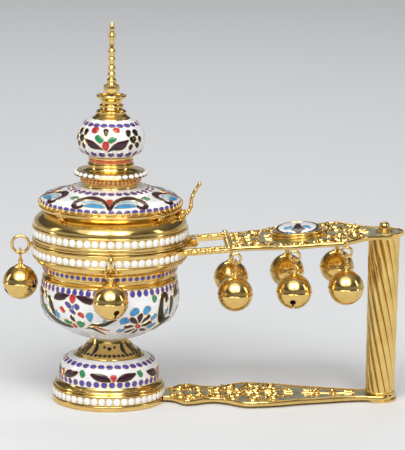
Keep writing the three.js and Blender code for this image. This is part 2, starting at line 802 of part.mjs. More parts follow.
// The underside of the upper plate climbs to the bend, and from there more gently to the tip
function upperPlateHeight(x) {
  const beforeBend = Math.min(x, UPPER_PLATE_BEND_X) - RING_RADIUS;
  const afterBend = Math.max(x - UPPER_PLATE_BEND_X, 0);
  const climb = beforeBend * Math.tan(UPPER_PLATE_SLOPE) + afterBend * Math.tan(UPPER_PLATE_END_SLOPE);
  return UPPER_PLATE_Z + climb;
}

// The half width of the upper plate at a place along it
function upperPlateHalfWidth(x) {
  if (x < LEAF_START_X + FORK_BAR_WIDTH / 2) return FORK_HALF_WIDTH;
  const along = (x - LEAF_START_X) / LEAF_LENGTH;
  const after = upperPlateShares.findIndex((share) => share[0] >= along);
  const [x0, y0] = upperPlateShares[after - 1];
  const [x1, y1] = upperPlateShares[after];
  return UPPER_PLATE_HALF_WIDTH * (y0 + ((y1 - y0) * (along - x0)) / (x1 - x0));
}

// An upright prism on an outline, tall enough to pass through the whole upper plate
function prism(shape) {
  const low = UPPER_PLATE_Z - OVERRUN;
  const depth = upperPlateHeight(UPPER_PLATE_TIP_X) + UPPER_PLATE_THICKNESS + OVERRUN - low;
  const geometry = new THREE.ExtrudeGeometry(shape, { depth, bevelEnabled: false });
  return solid(geometry.translate(0, 0, low));
}

function rectangle(lowX, highX, lowY, highY) {
  const corners = [[lowX, lowY], [highX, lowY], [highX, highY], [lowX, highY]];
  return new THREE.Shape(corners.map(([x, y]) => new THREE.Vector2(x, y)));
}

// A slab that follows the underside of the upper plate, between two heights above it
function slab(low, high) {
  const stations = [0, UPPER_PLATE_BEND_X, UPPER_PLATE_TIP_X + OVERRUN];
  const under = stations.map((x) => new THREE.Vector2(x, upperPlateHeight(x) + low));
  const over = stations.map((x) => new THREE.Vector2(x, upperPlateHeight(x) + high));
  const depth = 2 * (UPPER_PLATE_HALF_WIDTH + OVERRUN);
  const side = new THREE.Shape([...under, ...over.reverse()]);
  const geometry = new THREE.ExtrudeGeometry(side, { depth, bevelEnabled: false });
  return solid(geometry.rotateX(Math.PI / 2).translate(0, depth / 2, 0));
}

// The plain fork that carries the upper plate on the rim ring, one rail on each side of the hinge
function fork() {
  const startX = Math.sqrt(RING_RADIUS ** 2 - FORK_HALF_WIDTH ** 2);
  const barHalf = FORK_BAR_WIDTH / 2;
  const inner = FORK_HALF_WIDTH - FORK_RAIL_WIDTH;
  const crossbar = prism(
    rectangle(LEAF_START_X - barHalf, LEAF_START_X + barHalf, -FORK_HALF_WIDTH, FORK_HALF_WIDTH),
  );
  const near = prism(rectangle(startX, LEAF_START_X, -FORK_HALF_WIDTH, -inner));
  const far = prism(rectangle(startX, LEAF_START_X, inner, FORK_HALF_WIDTH));
  return crossbar.add(near).add(far);
}

function rodHole(x, z) {
  const hole = cylinder(ROD_RADIUS + ROD_CLEARANCE, z - OVERRUN, z + OVERRUN, SMALL_FACETS);
  return solid(hole.translate(x, 0, 0));
}

function addUpperPlate() {
  const leaf = (inset) =>
    prism(leafShape(upperPlateShares, LEAF_START_X, LEAF_LENGTH, UPPER_PLATE_HALF_WIDTH, inset));
  const blank = leaf(0).add(fork()).intersect(slab(0, UPPER_PLATE_THICKNESS));
  const floor = UPPER_PLATE_THICKNESS - PLATE_RECESS;
  const recess = leaf(PLATE_EDGE_WIDTH).intersect(slab(floor, UPPER_PLATE_THICKNESS + OVERRUN));
  const ring = cylinder(
    RING_RADIUS + PEARL_STAND_OUT + SEAT_GAP,
    UPPER_PLATE_Z - OVERRUN,
    UPPER_PLATE_Z + OVERRUN,
    LARGE_FACETS,
  );
  const hole = rodHole(POST_X, upperPlateHeight(POST_X));
  const plate = blank.subtract(recess).subtract(solid(ring)).subtract(hole);
  place(censer, "upper_handle_plate", geometryOf(plate), GILT);
  addMedallion();
}

// The bezel and the domed medallion lie square to the sloping floor of the plate's recess
function addMedallion() {
  const seat = new THREE.Group();
  seat.position.set(MEDALLION_X, 0, upperPlateHeight(MEDALLION_X));
  seat.rotation.y = -UPPER_PLATE_SLOPE;
  const onPlate = new THREE.Group();
  onPlate.position.z = UPPER_PLATE_THICKNESS - PLATE_RECESS + SEAT_GAP;
  seat.add(onPlate);
  censer.add(seat);
  const opening = MEDALLION_RADIUS + SEAT_GAP;
  const step = (BEZEL_RADIUS + opening) / 2;
  const bezel = [
    [opening, 0],
    [BEZEL_RADIUS, 0],
    [BEZEL_RADIUS, BEZEL_HEIGHT / 2],
    [step, BEZEL_HEIGHT / 2],
    [step, BEZEL_HEIGHT],
    [opening, BEZEL_HEIGHT],
  ];
  place(onPlate, "medallion_bezel", turned(bezel, MEDIUM_FACETS), GILT);
  const edge = BEZEL_HEIGHT - SEAT_GAP;
  const dome = [
    [0, 0],
    [MEDALLION_RADIUS, 0],
  ];
  const steps = 4;
  for (let i = 0; i <= steps; i++) {
    const share = 1 - i / steps;
    const height = edge + (MEDALLION_HEIGHT - edge) * (1 - share ** 2);
    dome.push([MEDALLION_RADIUS * share, height]);
  }
  place(onPlate, "medallion", turned(dome, MEDIUM_FACETS), WHITE_ENAMEL);
}

function addLowerPlate() {
  const startX = FOOT_RADIUS - FOOT_WALL;
  const length = POST_X + POST_FOOT_RADIUS - startX;
  const plate = leafPlate(
    lowerPlateShares,
    startX,
    length,
    LOWER_PLATE_HALF_WIDTH,
    LOWER_PLATE_THICKNESS,
  ).subtract(rodHole(POST_X, 0));
  const foot = cylinder(FOOT_RADIUS + SEAT_GAP, -OVERRUN, OVERRUN, LARGE_FACETS);
  const cut = plate.subtract(solid(foot));
  place(censer, "lower_handle_plate", geometryOf(cut), GILT).position.z = LOWER_PLATE_Z;
}

// The grip is a tube with round flutes that wind round it; its top follows the slope of the upper plate
function addPost() {
  const bottom = LOWER_PLATE_Z + LOWER_PLATE_THICKNESS + SEAT_GAP;
  const pointsRound = POST_FLUTES * 2;
  const levels = 8;
  const positions = [];
  const index = [];
  const topAt = (x) => upperPlateHeight(POST_X + x) - SEAT_GAP;
  for (let wall = 0; wall < 2; wall++) {
    for (let level = 0; level <= levels; level++) {
      const t = level / levels;
      const outerRadius = POST_BOTTOM_RADIUS + (POST_TOP_RADIUS - POST_BOTTOM_RADIUS) * t;
      for (let i = 0; i < pointsRound; i++) {
        const phase = (i / pointsRound) * 2 * Math.PI;
        const ripple = ((1 - Math.cos(POST_FLUTES * phase)) / 2) * POST_FLUTE_DEPTH;
        const radius = wall === 0 ? outerRadius - ripple : POST_BORE_RADIUS;
        const angle = phase - POST_TWIST_TURNS * 2 * Math.PI * t;
        const x = radius * Math.cos(angle);
        positions.push(x, radius * Math.sin(angle), bottom + (topAt(x) - bottom) * t);
      }
    }
  }
  const at = (wall, level, i) => (wall * (levels + 1) + level) * pointsRound + (i % pointsRound);
  const quad = (a, b, c, d) => index.push(a, b, c, a, c, d);
  for (let i = 0; i < pointsRound; i++) {
    for (let level = 0; level < levels; level++) {
      quad(at(0, level, i), at(0, level, i + 1), at(0, level + 1, i + 1), at(0, level + 1, i));
      quad(at(1, level, i + 1), at(1, level, i), at(1, level + 1, i), at(1, level + 1, i + 1));
    }
    quad(at(1, 0, i), at(1, 0, i + 1), at(0, 0, i + 1), at(0, 0, i));
    quad(at(0, levels, i), at(0, levels, i + 1), at(1, levels, i + 1), at(1, levels, i));
  }
  const geometry = new THREE.BufferGeometry();
  geometry.setAttribute("position", new THREE.Float32BufferAttribute(positions, 3));
  geometry.setIndex(index);
  geometry.computeVertexNormals();
  place(censer, "handle_post", geometry, GILT).position.x = POST_X;
}

// How far the ball's middle stands above its washer, as a share of its radius
const ballRiseShare = 0.5;

// The rod runs through the grip from the foot nut under the lower plate to the ball nut on the upper one,
// whose washer lies in the plate's recess
function addPostFasteners() {
  const high = upperPlateHeight(POST_X + BALL_WASHER_RADIUS);
  const plateTop = high + UPPER_PLATE_THICKNESS - PLATE_RECESS + SEAT_GAP;
  const hole = ROD_RADIUS + PIN_CLEARANCE;
  const footNut = turned(bar(hole, POST_FOOT_RADIUS, 0, POST_FOOT_HEIGHT), MEDIUM_FACETS);
  place(censer, "post_foot_nut", footNut, GILT).position.x = POST_X;
  const rodTop = plateTop + BALL_WASHER_HEIGHT + BALL_NUT_RADIUS;
  const rod = cylinder(ROD_RADIUS, SEAT_GAP, rodTop, SMALL_FACETS);
  place(censer, "tie_rod", rod, STEEL).position.x = POST_X;
  const washer = cylinder(BALL_WASHER_RADIUS, 0, BALL_WASHER_HEIGHT, MEDIUM_FACETS);
  const ball = ballGeometry(BALL_NUT_RADIUS, SMALL_FACETS);
  ball.translate(0, 0, BALL_WASHER_HEIGHT + BALL_NUT_RADIUS * ballRiseShare);
  const bore = cylinder(hole, -OVERRUN, rodTop - plateTop + SEAT_GAP, SMALL_FACETS);
  const nut = solid(washer).add(solid(ball)).subtract(solid(bore));
  place(censer, "ball_nut", geometryOf(nut), GILT).position.set(POST_X, 0, plateTop);
}

// A round bell of two halves with a cross slot below, hung by a wire loop in the local YZ plane.
// Its own origin is the point of the ring that it hangs from, and its middle lies one drop below.
function bellGeometry(drop, eyeWireRadius) {
  const ball = solid(ballGeometry(BELL_RADIUS, SMALL_FACETS));
  const hollow = solid(ballGeometry(BELL_RADIUS - BELL_WALL, HIDDEN_FACETS));
  const loopMiddle = eyeWireRadius + PIN_CLEARANCE - (BELL_LOOP_RADIUS - BELL_LOOP_WIRE_RADIUS);
  const loop = wireRing(BELL_LOOP_RADIUS, BELL_LOOP_WIRE_RADIUS, HIDDEN_FACETS);
  loop.rotateY(Math.PI / 2).translate(0, 0, drop + loopMiddle);
  const shankTop = drop + loopMiddle - BELL_LOOP_RADIUS;
  const shank = cylinder(BELL_SHANK_RADIUS, BELL_RADIUS - BELL_WALL, shankTop, HIDDEN_FACETS);
  const bell = ball.add(solid(shank)).add(solid(loop)).subtract(hollow).subtract(slotCut());
  return geometryOf(bell).translate(0, 0, -drop);
}

const ballGeometry = (radius, facets) =>
  new THREE.SphereGeometry(radius, facets, facets / 2).rotateX(Math.PI / 2);

// The slot across the bottom ends in two round holes
function slotCut() {
  const floor = -BELL_RADIUS - OVERRUN;
  const slot = new THREE.BoxGeometry(2 * BELL_SLOT_RADIUS, BELL_SLOT_WIDTH, -floor);
  slot.translate(0, 0, floor / 2);
  let cut = solid(slot);
  for (const side of [-1, 1]) {
    const hole = cylinder(BELL_HOLE_RADIUS, floor, 0, WIRE_FACETS);
    hole.translate(side * BELL_SLOT_RADIUS, 0, 0);
    cut = cut.add(solid(hole));
  }
  return cut;
}

function pelletGeometry(drop) {
  const pellet = ballGeometry(PELLET_RADIUS, HIDDEN_FACETS);
  return pellet.translate(0, 0, BELL_WALL + SEAT_GAP + PELLET_RADIUS - BELL_RADIUS - drop);
}

// A ring with its bell: the ring stands in the local XZ plane with its lowest wire at the local origin
function addHungBell(hanger, name, eye, bell) {
  const ring = wireRing(eye.radius, eye.wireRadius, SMALL_FACETS);
  ring.rotateX(Math.PI / 2).translate(0, 0, eye.radius);
  place(hanger, "eye_" + name, eye.lug ? geometryOf(solid(ring).add(eye.lug)) : ring, GILT);
  place(hanger, "bell_" + name, bell, GILT);
  place(hanger, "pellet_" + name, pelletGeometry(eye.drop), STEEL);
}

function addPlateBells() {
  const eye = { radius: PLATE_EYE_RADIUS, wireRadius: PLATE_EYE_WIRE_RADIUS, drop: PLATE_BELL_DROP };
  const bell = bellGeometry(PLATE_BELL_DROP, PLATE_EYE_WIRE_RADIUS);
  const reach = (PLATE_EYE_RADIUS + PLATE_EYE_WIRE_RADIUS + SEAT_GAP) / Math.cos(UPPER_PLATE_SLOPE);
  for (const [station, share] of Object.entries(bellStationShares)) {
    const x = RING_RADIUS + UPPER_PLATE_LENGTH * share;
    const y = upperPlateHalfWidth(x) - PLATE_BELL_INSET;
    const z = upperPlateHeight(x) - reach - PLATE_EYE_RADIUS;
    for (const [sideName, side] of [["near", -1], ["far", 1]]) {
      const hanger = new THREE.Group();
      hanger.position.set(x, side * y, z);
      censer.add(hanger);
      addHungBell(hanger, station + "_" + sideName, eye, bell);
    }
  }
}

// The rings on the bowl have a short lug that meets the rim ring
function addBowlBells() {
  const reach = BOWL_EYE_STAND_OFF - PEARL_STAND_OUT - SEAT_GAP;
  const lug = new THREE.BoxGeometry(
    reach - BOWL_EYE_RADIUS + BOWL_EYE_WIRE_RADIUS / 2,
    2 * BOWL_EYE_WIRE_RADIUS,
    2 * BOWL_EYE_WIRE_RADIUS,
  );
  lug.translate(-(reach + BOWL_EYE_RADIUS - BOWL_EYE_WIRE_RADIUS / 2) / 2, 0, BOWL_EYE_RADIUS);
  const eye = {
    radius: BOWL_EYE_RADIUS,
    wireRadius: BOWL_EYE_WIRE_RADIUS,
    drop: BOWL_BELL_DROP,
    lug: solid(lug),
  };
  const bell = bellGeometry(BOWL_BELL_DROP, BOWL_EYE_WIRE_RADIUS);
  for (const { name, turnDeg } of BOWL_BELLS) {
    const turn = new THREE.Group();
    turn.rotation.z = THREE.MathUtils.degToRad(turnDeg);
    const hanger = new THREE.Group();
    hanger.position.set(RING_RADIUS + BOWL_EYE_STAND_OFF, 0, BOWL_EYE_Z - BOWL_EYE_RADIUS);
    turn.add(hanger);
    censer.add(turn);
    addHungBell(hanger, "bowl_" + name, eye, bell);
  }
}

addFoot();
addStemBolt();
addBowl();
addBowlCollar();
addRimRing();
addHingePin();
addCoalPan();
addLidShell();
addDiscRim();
addDisc();
addThumbLever();
addLidTop();
addUpperPlate();
addLowerPlate();
addPost();
addPostFasteners();
addPlateBells();
addBowlBells();

export default censer;
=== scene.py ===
"""Looks of the hand censer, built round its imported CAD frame.

Lengths are millimetres, unless a name or a comment says otherwise.
"""

import math

import bpy
import bmesh
from mathutils import Matrix, Vector


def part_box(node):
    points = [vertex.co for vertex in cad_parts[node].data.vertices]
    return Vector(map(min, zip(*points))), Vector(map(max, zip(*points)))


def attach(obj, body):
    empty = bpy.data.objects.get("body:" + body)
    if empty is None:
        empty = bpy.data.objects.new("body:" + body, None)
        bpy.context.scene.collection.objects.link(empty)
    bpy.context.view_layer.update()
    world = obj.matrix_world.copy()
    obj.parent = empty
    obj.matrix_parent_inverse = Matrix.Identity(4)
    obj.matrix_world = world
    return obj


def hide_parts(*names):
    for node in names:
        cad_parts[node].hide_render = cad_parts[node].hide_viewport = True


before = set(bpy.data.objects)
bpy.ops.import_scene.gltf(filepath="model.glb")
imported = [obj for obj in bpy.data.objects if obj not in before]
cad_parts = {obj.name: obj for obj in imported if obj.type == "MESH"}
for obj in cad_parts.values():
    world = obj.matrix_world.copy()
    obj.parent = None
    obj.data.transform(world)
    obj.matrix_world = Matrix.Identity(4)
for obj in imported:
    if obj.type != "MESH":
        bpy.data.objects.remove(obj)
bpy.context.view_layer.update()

MM = 0.001
SEAM = 0.3
SKIN_WALL = 0.9
KNOB_WALL = 1.0
GILT_WALL = 1.2
THICK_WALL = 1.4
ROUND_STEPS = 160
SPAN_STEPS = 6
CORNER_RADIUS = 0.35
CORNER_DEG = 20
CORNER_SHARE = 0.45
SAME_PLACE = 0.01
AXIS_GAP = 0.2
SHARP_DEG = 42
TINY = 1e-6
WIRE_RADIUS = 0.18
WIRE_SIDES = 6
WIRE_RISE = 0.02
CELL_SINK = 0.4
CELL_EDGE = 0.06
CELL_CROWN = 0.3
CELL_LOOPS = ((1, -CELL_SINK), (1, CELL_EDGE), (0.8, CELL_CROWN * 0.75), (0.45, CELL_CROWN))
CUSHION_SHARE = 0.8
STROKE_SHOULDER = 0.55
RIBBON_SHOULDER = 0.56
STROKE_STEPS = 28
RIBBON_STEPS = 30
DOT_SIDES = 16
GROWTH = 0.16
RIBBON_GROWTH = 0.3
FRONT_DEG = -90

RELIEF = "relief"
STAND = "stand"
LID = "lid"


# Reading the frame

def box_mm(node):
    low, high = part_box(node)
    return low / MM, high / MM


def middle(node):
    low, high = box_mm(node)
    return (low + high) / 2


def outline_of(node, shares, seam=SEAM):
    """Shares of a turned node's radius and height as radius and level; its foot closes the seam below it."""
    low, high = box_mm(node)
    foot = low.z - seam
    return [(share * high.y, foot + level * (high.z - foot)) for share, level in shares]


# Curves in a plane

def spline(points, steps=SPAN_STEPS, closed=False):
    """A smooth line through all the points."""
    if len(points) < 3:
        return list(points)
    count = len(points)
    line = []
    spans = count if closed else count - 1
    for span in range(spans):
        if closed:
            a, b, c, d = (points[(span + shift) % count] for shift in (-1, 0, 1, 2))
        else:
            b, c = points[span], points[span + 1]
            a = points[span - 1] if span else [2 * p - q for p, q in zip(b, c)]
            d = points[span + 2] if span + 2 < count else [2 * q - p for p, q in zip(b, c)]
        for step in range(steps):
            line.append(spline_point(a, b, c, d, step / steps))
    if not closed:
        line.append(tuple(points[-1]))
    return line


def spline_point(a, b, c, d, t):
    return tuple(
        0.5 * (2 * q + (r - p) * t + (2 * p - 5 * q + 4 * r - s) * t ** 2 + (3 * q - p - 3 * r + s) * t ** 3)
        for p, q, r, s in zip(a, b, c, d)
    )


def rounded(points, radius=CORNER_RADIUS, steps=4):
    """A closed outline with its corners rounded off."""
    count = len(points)
    line = []
    for index in range(count):
        before, here, after = (Vector(points[(index + shift) % count]) for shift in (-1, 0, 1))
        back, ahead = before - here, after - here
        turn = back.angle(-ahead, 0) if back.length and ahead.length else 0
        if turn < math.radians(CORNER_DEG):
            line.append(tuple(here))
            continue
        start = here + back.normalized() * min(radius, back.length * CORNER_SHARE)
        end = here + ahead.normalized() * min(radius, ahead.length * CORNER_SHARE)
        for step in range(steps + 1):
            t = step / steps
            line.append(tuple(start * (1 - t) ** 2 + here * (2 * t * (1 - t)) + end * t ** 2))
    return line


def runs(*parts):
    """Joins runs into one line, each from where the last one ended.

    A run through three or more points is curved, and one between two points is straight.
    """
    line = []
    for part in parts:
        for point in spline(line[-1:] + list(part)):
            if not line or math.dist(point, line[-1]) > SAME_PLACE:
                line.append(point)
    return line


def share_runs(node, parts, seam=SEAM):
    """The outline of a turned node, from runs of shares of its radius and height."""
    return runs(*(outline_of(node, part, seam) for part in parts))


def oblong(inner, outer, low, high):
    """The corners of a straight ring's outline."""
    return [(inner, low), (outer, low), (outer, high), (inner, high)]


def shell(line, wall):
    """A closed outline that gives a line a wall on its inner side."""
    inner = []
    for index, point in enumerate(line):
        before = Vector(line[max(index - 1, 0)])
        after = Vector(line[min(index + 1, len(line) - 1)])
        along = (after - before).normalized()
        inner.append((max(point[0] - along.y * wall, AXIS_GAP), point[1] + along.x * wall))
    return rounded(list(line) + inner[::-1], CORNER_RADIUS / 2)


# Meshes

class Pile:
    """Vertices and faces of one piece."""

    def __init__(self):
        self.points = []
        self.faces = []

    def add(self, point):
        self.points.append(tuple(point))
        return len(self.points) - 1

    def skin(self, loops, start=None, end=None, joined=False):
        """Skins loops of equal length. Open ends close on a pole or on a flat cap."""
        rows = [[self.add(point) for point in loop] for loop in loops]
        pairs = list(zip(rows, rows[1:]))
        if joined:
            pairs.append((rows[-1], rows[0]))
        for first, second in pairs:
            for a, b, c, d in zip(first, first[1:] + first[:1], second[1:] + second[:1], second):
                self.faces.append((a, b, c, d))
        if not joined:
            self.close(rows[0][::-1], start)
            self.close(rows[-1], end)

    def close(self, row, pole):
        if pole is None:
            self.faces.append(tuple(row))
            return
        tip = self.add(pole)
        for a, b in zip(row, row[1:] + row[:1]):
            self.faces.append((a, b, tip))

    def turned(self, profile, steps=ROUND_STEPS, centre=(0, 0)):
        """Turns a closed outline of (radius, level) points round an upright axis."""
        loops = [circle(radius, level, steps, centre) for radius, level in profile]
        self.skin(loops, joined=True)

    def turned_solid(self, profile, steps=ROUND_STEPS, centre=(0, 0)):
        """Turns an open outline round an upright axis and closes it on the axis at both ends."""
        loops = [circle(radius, level, steps, centre) for radius, level in profile]
        start = Vector((*centre, profile[0][1]))
        end = Vector((*centre, profile[-1][1]))
        self.skin(loops, start, end)

    def tube(self, path, radius, sides=WIRE_SIDES, joined=False, outward=None):
        """A round wire along a path. outward gives the direction away from the surface at each point."""
        loops = []
        last = len(path) - 1
        for index, point in enumerate(path):
            before = path[index - 1] if index or joined else point
            after = path[(index + 1) % len(path)] if index < last or joined else point
            along = (Vector(after) - Vector(before)).normalized()
            out = Vector(outward[index]) if outward else any_across(along)
            side = along.cross(out).normalized()
            up = side.cross(along)
            width = radius[index] if isinstance(radius, list) else radius
            loops.append([Vector(point) + (side * c + up * s) * width for c, s in round_shares(sides)])
        self.skin(loops, joined=joined)

    def ball(self, centre, radius, squash=(1, 1, 1), rings=10, steps=16):
        """A ball, or an egg where the squash differs along the three axes."""
        centre = Vector(centre)
        size = Vector(squash) * radius
        loops = []
        for ring in range(1, rings):
            angle = math.pi * ring / rings - math.pi / 2
            wide, rise = math.cos(angle), math.sin(angle)
            loops.append([centre + Vector((c * wide * size.x, s * wide * size.y, rise * size.z))
                          for c, s in round_shares(steps)])
        pole = Vector((0, 0, size.z))
        self.skin(loops, centre - pole, centre + pole)


def any_across(along):
    other = Vector((0, 0, 1)) if abs(along.z) < 0.9 else Vector((0, 1, 0))
    return along.cross(other).cross(along).normalized()


def round_shares(count):
    return [(math.cos(math.tau * k / count), math.sin(math.tau * k / count)) for k in range(count)]


def facing(angle):
    """The level direction at an angle round the axis."""
    return Vector((math.cos(angle), math.sin(angle), 0))


def circle(radius, level, steps, centre=(0, 0)):
    return [Vector((centre[0] + radius * c, centre[1] + radius * s, level)) for c, s in round_shares(steps)]


def raw_mesh(name, pile):
    mesh = bpy.data.meshes.new(name)
    mesh.from_pydata([tuple(c * MM for c in point) for point in pile.points], [], pile.faces)
    return mesh


def faced_out(mesh, *others):
    """The mesh, joined with the others, with all its faces turned outwards."""
    work = bmesh.new()
    for part in (mesh, *others):
        work.from_mesh(part)
    bmesh.ops.recalc_face_normals(work, faces=work.faces)
    mesh.clear_geometry()
    work.to_mesh(mesh)
    work.free()
    return mesh


def finished(mesh, material):
    mesh.materials.clear()
    mesh.materials.append(material)
    mesh.shade_smooth()
    mesh.set_sharp_from_angle(angle=math.radians(SHARP_DEG))
    return mesh


def linked(name, data):
    item = bpy.data.objects.new(name, data)
    bpy.context.scene.collection.objects.link(item)
    return item


def place_mesh(name, mesh, body, nodes=(), move=None):
    """Makes an object of a mesh and lets it ride on its body."""
    item = linked(name, mesh)
    if move:
        item.matrix_world = move
    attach(item, body)
    if nodes:
        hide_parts(*nodes)
    return item


def piece(name, pile, material, body, nodes=()):
    return place_mesh(name, finished(faced_out(raw_mesh(name, pile)), material), body, nodes)


def gilt(name, pile, body, *nodes):
    return piece(name, pile, GILT, body, nodes)


def white(name, pile, body, *nodes):
    return piece(name, pile, WHITE, body, nodes)


def turned_ring(line, edge=CORNER_RADIUS, corner_steps=4, steps=ROUND_STEPS, centre=(0, 0)):
    """The pile of a closed outline, turned with round corners."""
    pile = Pile()
    pile.turned(rounded(line, edge, corner_steps), steps, centre)
    return pile


def turned_piece(finish, name, node, line, wall, body, steps=ROUND_STEPS):
    """A turned wall in place of a node. Returns the chart of its outside."""
    pile = Pile()
    pile.turned(shell(line, wall), steps)
    finish(name, pile, body, node)
    return Turned(line)


# Charts: surfaces that ornament is laid on

OFF_CHART = -1000.0


class Turned:
    """The outside of a turned piece: u in degrees round the axis, v in millimetres along the outline."""

    def __init__(self, line):
        self.line = [Vector(point) for point in line]
        self.reach = [0.0]
        for a, b in zip(self.line, self.line[1:]):
            self.reach.append(self.reach[-1] + (b - a).length)
        self.out = []
        last = len(self.line) - 1
        for index in range(len(self.line)):
            along = self.line[min(index + 1, last)] - self.line[max(index - 1, 0)]
            self.out.append(Vector((along.y, -along.x)).normalized())

    def find(self, v):
        """The place on the outline at v, and the way out of it."""
        last = len(self.reach) - 2
        index = 0
        while index < last and self.reach[index + 1] < v:
            index += 1
        t = (v - self.reach[index]) / max(self.reach[index + 1] - self.reach[index], TINY)
        here = self.line[index].lerp(self.line[index + 1], t)
        return here, self.out[index].lerp(self.out[index + 1], t).normalized()

    def point(self, u, v, h=0.0):
        here, out = self.find(v)
        spot = here + out * h
        angle = math.radians(u)
        return Vector((spot.x * math.cos(angle), spot.x * math.sin(angle), spot.y))

    def scale(self, u, v):
        return math.radians(max(self.find(v)[0].x, 1.0))

    def level(self, z):
        """v at a height, counted from the start of the outline."""
        return self.where(1, z)

    def radius(self, r):
        """v at a radius, counted from the start of the outline."""
        return self.where(0, r)

    def widest(self):
        return max(point.x for point in self.line)

    def depth(self, spot):
        """How far a place lies inside the outline, or a negative number outside it."""
        return self.radius_at(spot.z) - math.hypot(spot.x, spot.y)

    def seen_at(self, spot):
        return math.degrees(math.atan2(spot.y, spot.x)), self.level(spot.z)

    def radius_at(self, z):
        """The outline's radius at a height, or a negative number off its ends."""
        if not self.line[0].y <= z <= self.line[-1].y:
            return OFF_CHART
        for a, b in zip(self.line, self.line[1:]):
            if a.y <= z <= b.y and b.y > a.y:
                return a.x + (b.x - a.x) * (z - a.y) / (b.y - a.y)
        return OFF_CHART

    def where(self, axis, value):
        for index, (a, b) in enumerate(zip(self.line, self.line[1:])):
            low, high = sorted((a[axis], b[axis]))
            if low <= value <= high and high > low:
                t = (value - a[axis]) / (b[axis] - a[axis])
                return self.reach[index] + t * (self.reach[index + 1] - self.reach[index])
        return self.reach[-1] if value > self.line[-1][axis] else 0.0


class Sheet:
    """The upper face of a plate: u along it, v across it."""

    def __init__(self, top):
        self.top = top

    def point(self, u, v, h=0.0):
        return Vector((u, v, self.top(u) + h))

    def scale(self, u, v):
        return 1.0


class Dome:
    """A shallow round dome seen from above, with its own place and tilt."""

    def __init__(self, rise, place, radius):
        self.rise = rise
        self.place = place
        self.radius = radius

    def widest(self):
        return self.radius

    def depth(self, spot):
        local = self.place.inverted() @ spot
        return self.rise(math.hypot(local.x, local.y)) - local.z

    def seen_at(self, spot):
        local = self.place.inverted() @ spot
        return local.x, local.y

    def point(self, u, v, h=0.0):
        return self.place @ Vector((u, v, self.rise(math.hypot(u, v)) + h))

    def scale(self, u, v):
        return 1.0


# Places read off the photograph

CAMERA_AZIMUTH = math.radians(-2.586)
CAMERA_ELEVATION = math.radians(11.109)
CAMERA_ROLL = math.radians(0.90)
CAMERA_DISTANCE = 1719.1 * MM
CAMERA_TARGET = Vector((58, 0, 112.6)) * MM
CAMERA_LENS = 218.528
SENSOR_HEIGHT = 36
SIGHT_HALVINGS = 12
PHOTO_WIDTH = 405
PHOTO_HEIGHT = 450
SIGHT_STEP = 0.4
SIGHT_MARGIN = 1


def camera_axes():
    back = Vector((math.sin(CAMERA_AZIMUTH) * math.cos(CAMERA_ELEVATION),
                   -math.cos(CAMERA_AZIMUTH) * math.cos(CAMERA_ELEVATION), math.sin(CAMERA_ELEVATION)))
    right = (-back).cross(Vector((0, 0, 1))).normalized()
    up = right.cross(-back)
    c, s = math.cos(CAMERA_ROLL), math.sin(CAMERA_ROLL)
    return right * c + up * s, up * c - right * s, back


def sight(x, y):
    """Start and direction of the line of sight through a pixel of the photograph."""
    right, up, back = camera_axes()
    focal = CAMERA_LENS / SENSOR_HEIGHT * PHOTO_HEIGHT
    along = right * (x - PHOTO_WIDTH / 2) + up * (PHOTO_HEIGHT / 2 - y) - back * focal
    return (CAMERA_TARGET + back * CAMERA_DISTANCE) / MM, along.normalized()


def seen_on(chart, pixels):
    """Where pixels of the photograph lie on a round chart. A pixel past its edge lands on the edge."""
    return [seen_point(chart, x, y) for x, y in pixels]


def seen_point(chart, x, y):
    start, along = sight(x, y)
    reach = chart.widest() + SIGHT_MARGIN
    t = (-reach - start.y) / along.y
    end = (reach - start.y) / along.y
    best = None
    while t < end:
        spot = start + along * t
        depth = chart.depth(spot)
        if best is None or depth > best[0]:
            best = (depth, t)
        if depth > 0:
            break
        t += SIGHT_STEP
    return chart.seen_at(start + along * refined(chart, start, along, best[1]))


def refined(chart, start, along, t):
    """Halves the last step of the walk along a line of sight until it ends on the surface."""
    low, high = t - SIGHT_STEP, t
    for _ in range(SIGHT_HALVINGS):
        half = (low + high) / 2
        if chart.depth(start + along * half) > 0:
            high = half
        else:
            low = half
    return high


# Shapes of cells: half width along a path, as a share of the widest

def leaf(t):
    return math.sin(math.pi * t) ** 0.85


def drop(t):
    """Pointed at the start, round at the end."""
    full = 0.64
    if t < full:
        return math.sin(math.pi / 2 * t / full) ** 1.15
    return round_end(t, full)


def comma(t):
    """Thin and pointed at the start, growing to a round head."""
    full = 0.86
    if t < full:
        return 0.25 + 0.75 * (t / full) ** 1.3 if t > 0.05 else 5 * t + 0.01
    return round_end(t, full)


def round_end(t, full):
    return math.sqrt(max(1 - ((t - full) / (1 - full)) ** 2, 0))


def cushion(shoulder, crown):
    """The cross-section of a raised cell, in shares of its half width and in heights."""
    soft = crown * CUSHION_SHARE
    return ((-1, -CELL_SINK), (-1, CELL_EDGE), (-shoulder, soft), (0, crown), (shoulder, soft),
            (1, CELL_EDGE), (1, -CELL_SINK))


def copies(line, repeats, mirror):
    """The line at each of its turns round the axis, each followed by its mirror image if one is asked for."""
    for k in range(repeats):
        turn = 360 * k / repeats
        yield [(u + turn, v) for u, v in line]
        if mirror is not None:
            yield [(2 * mirror - u + turn, v) for u, v in line]


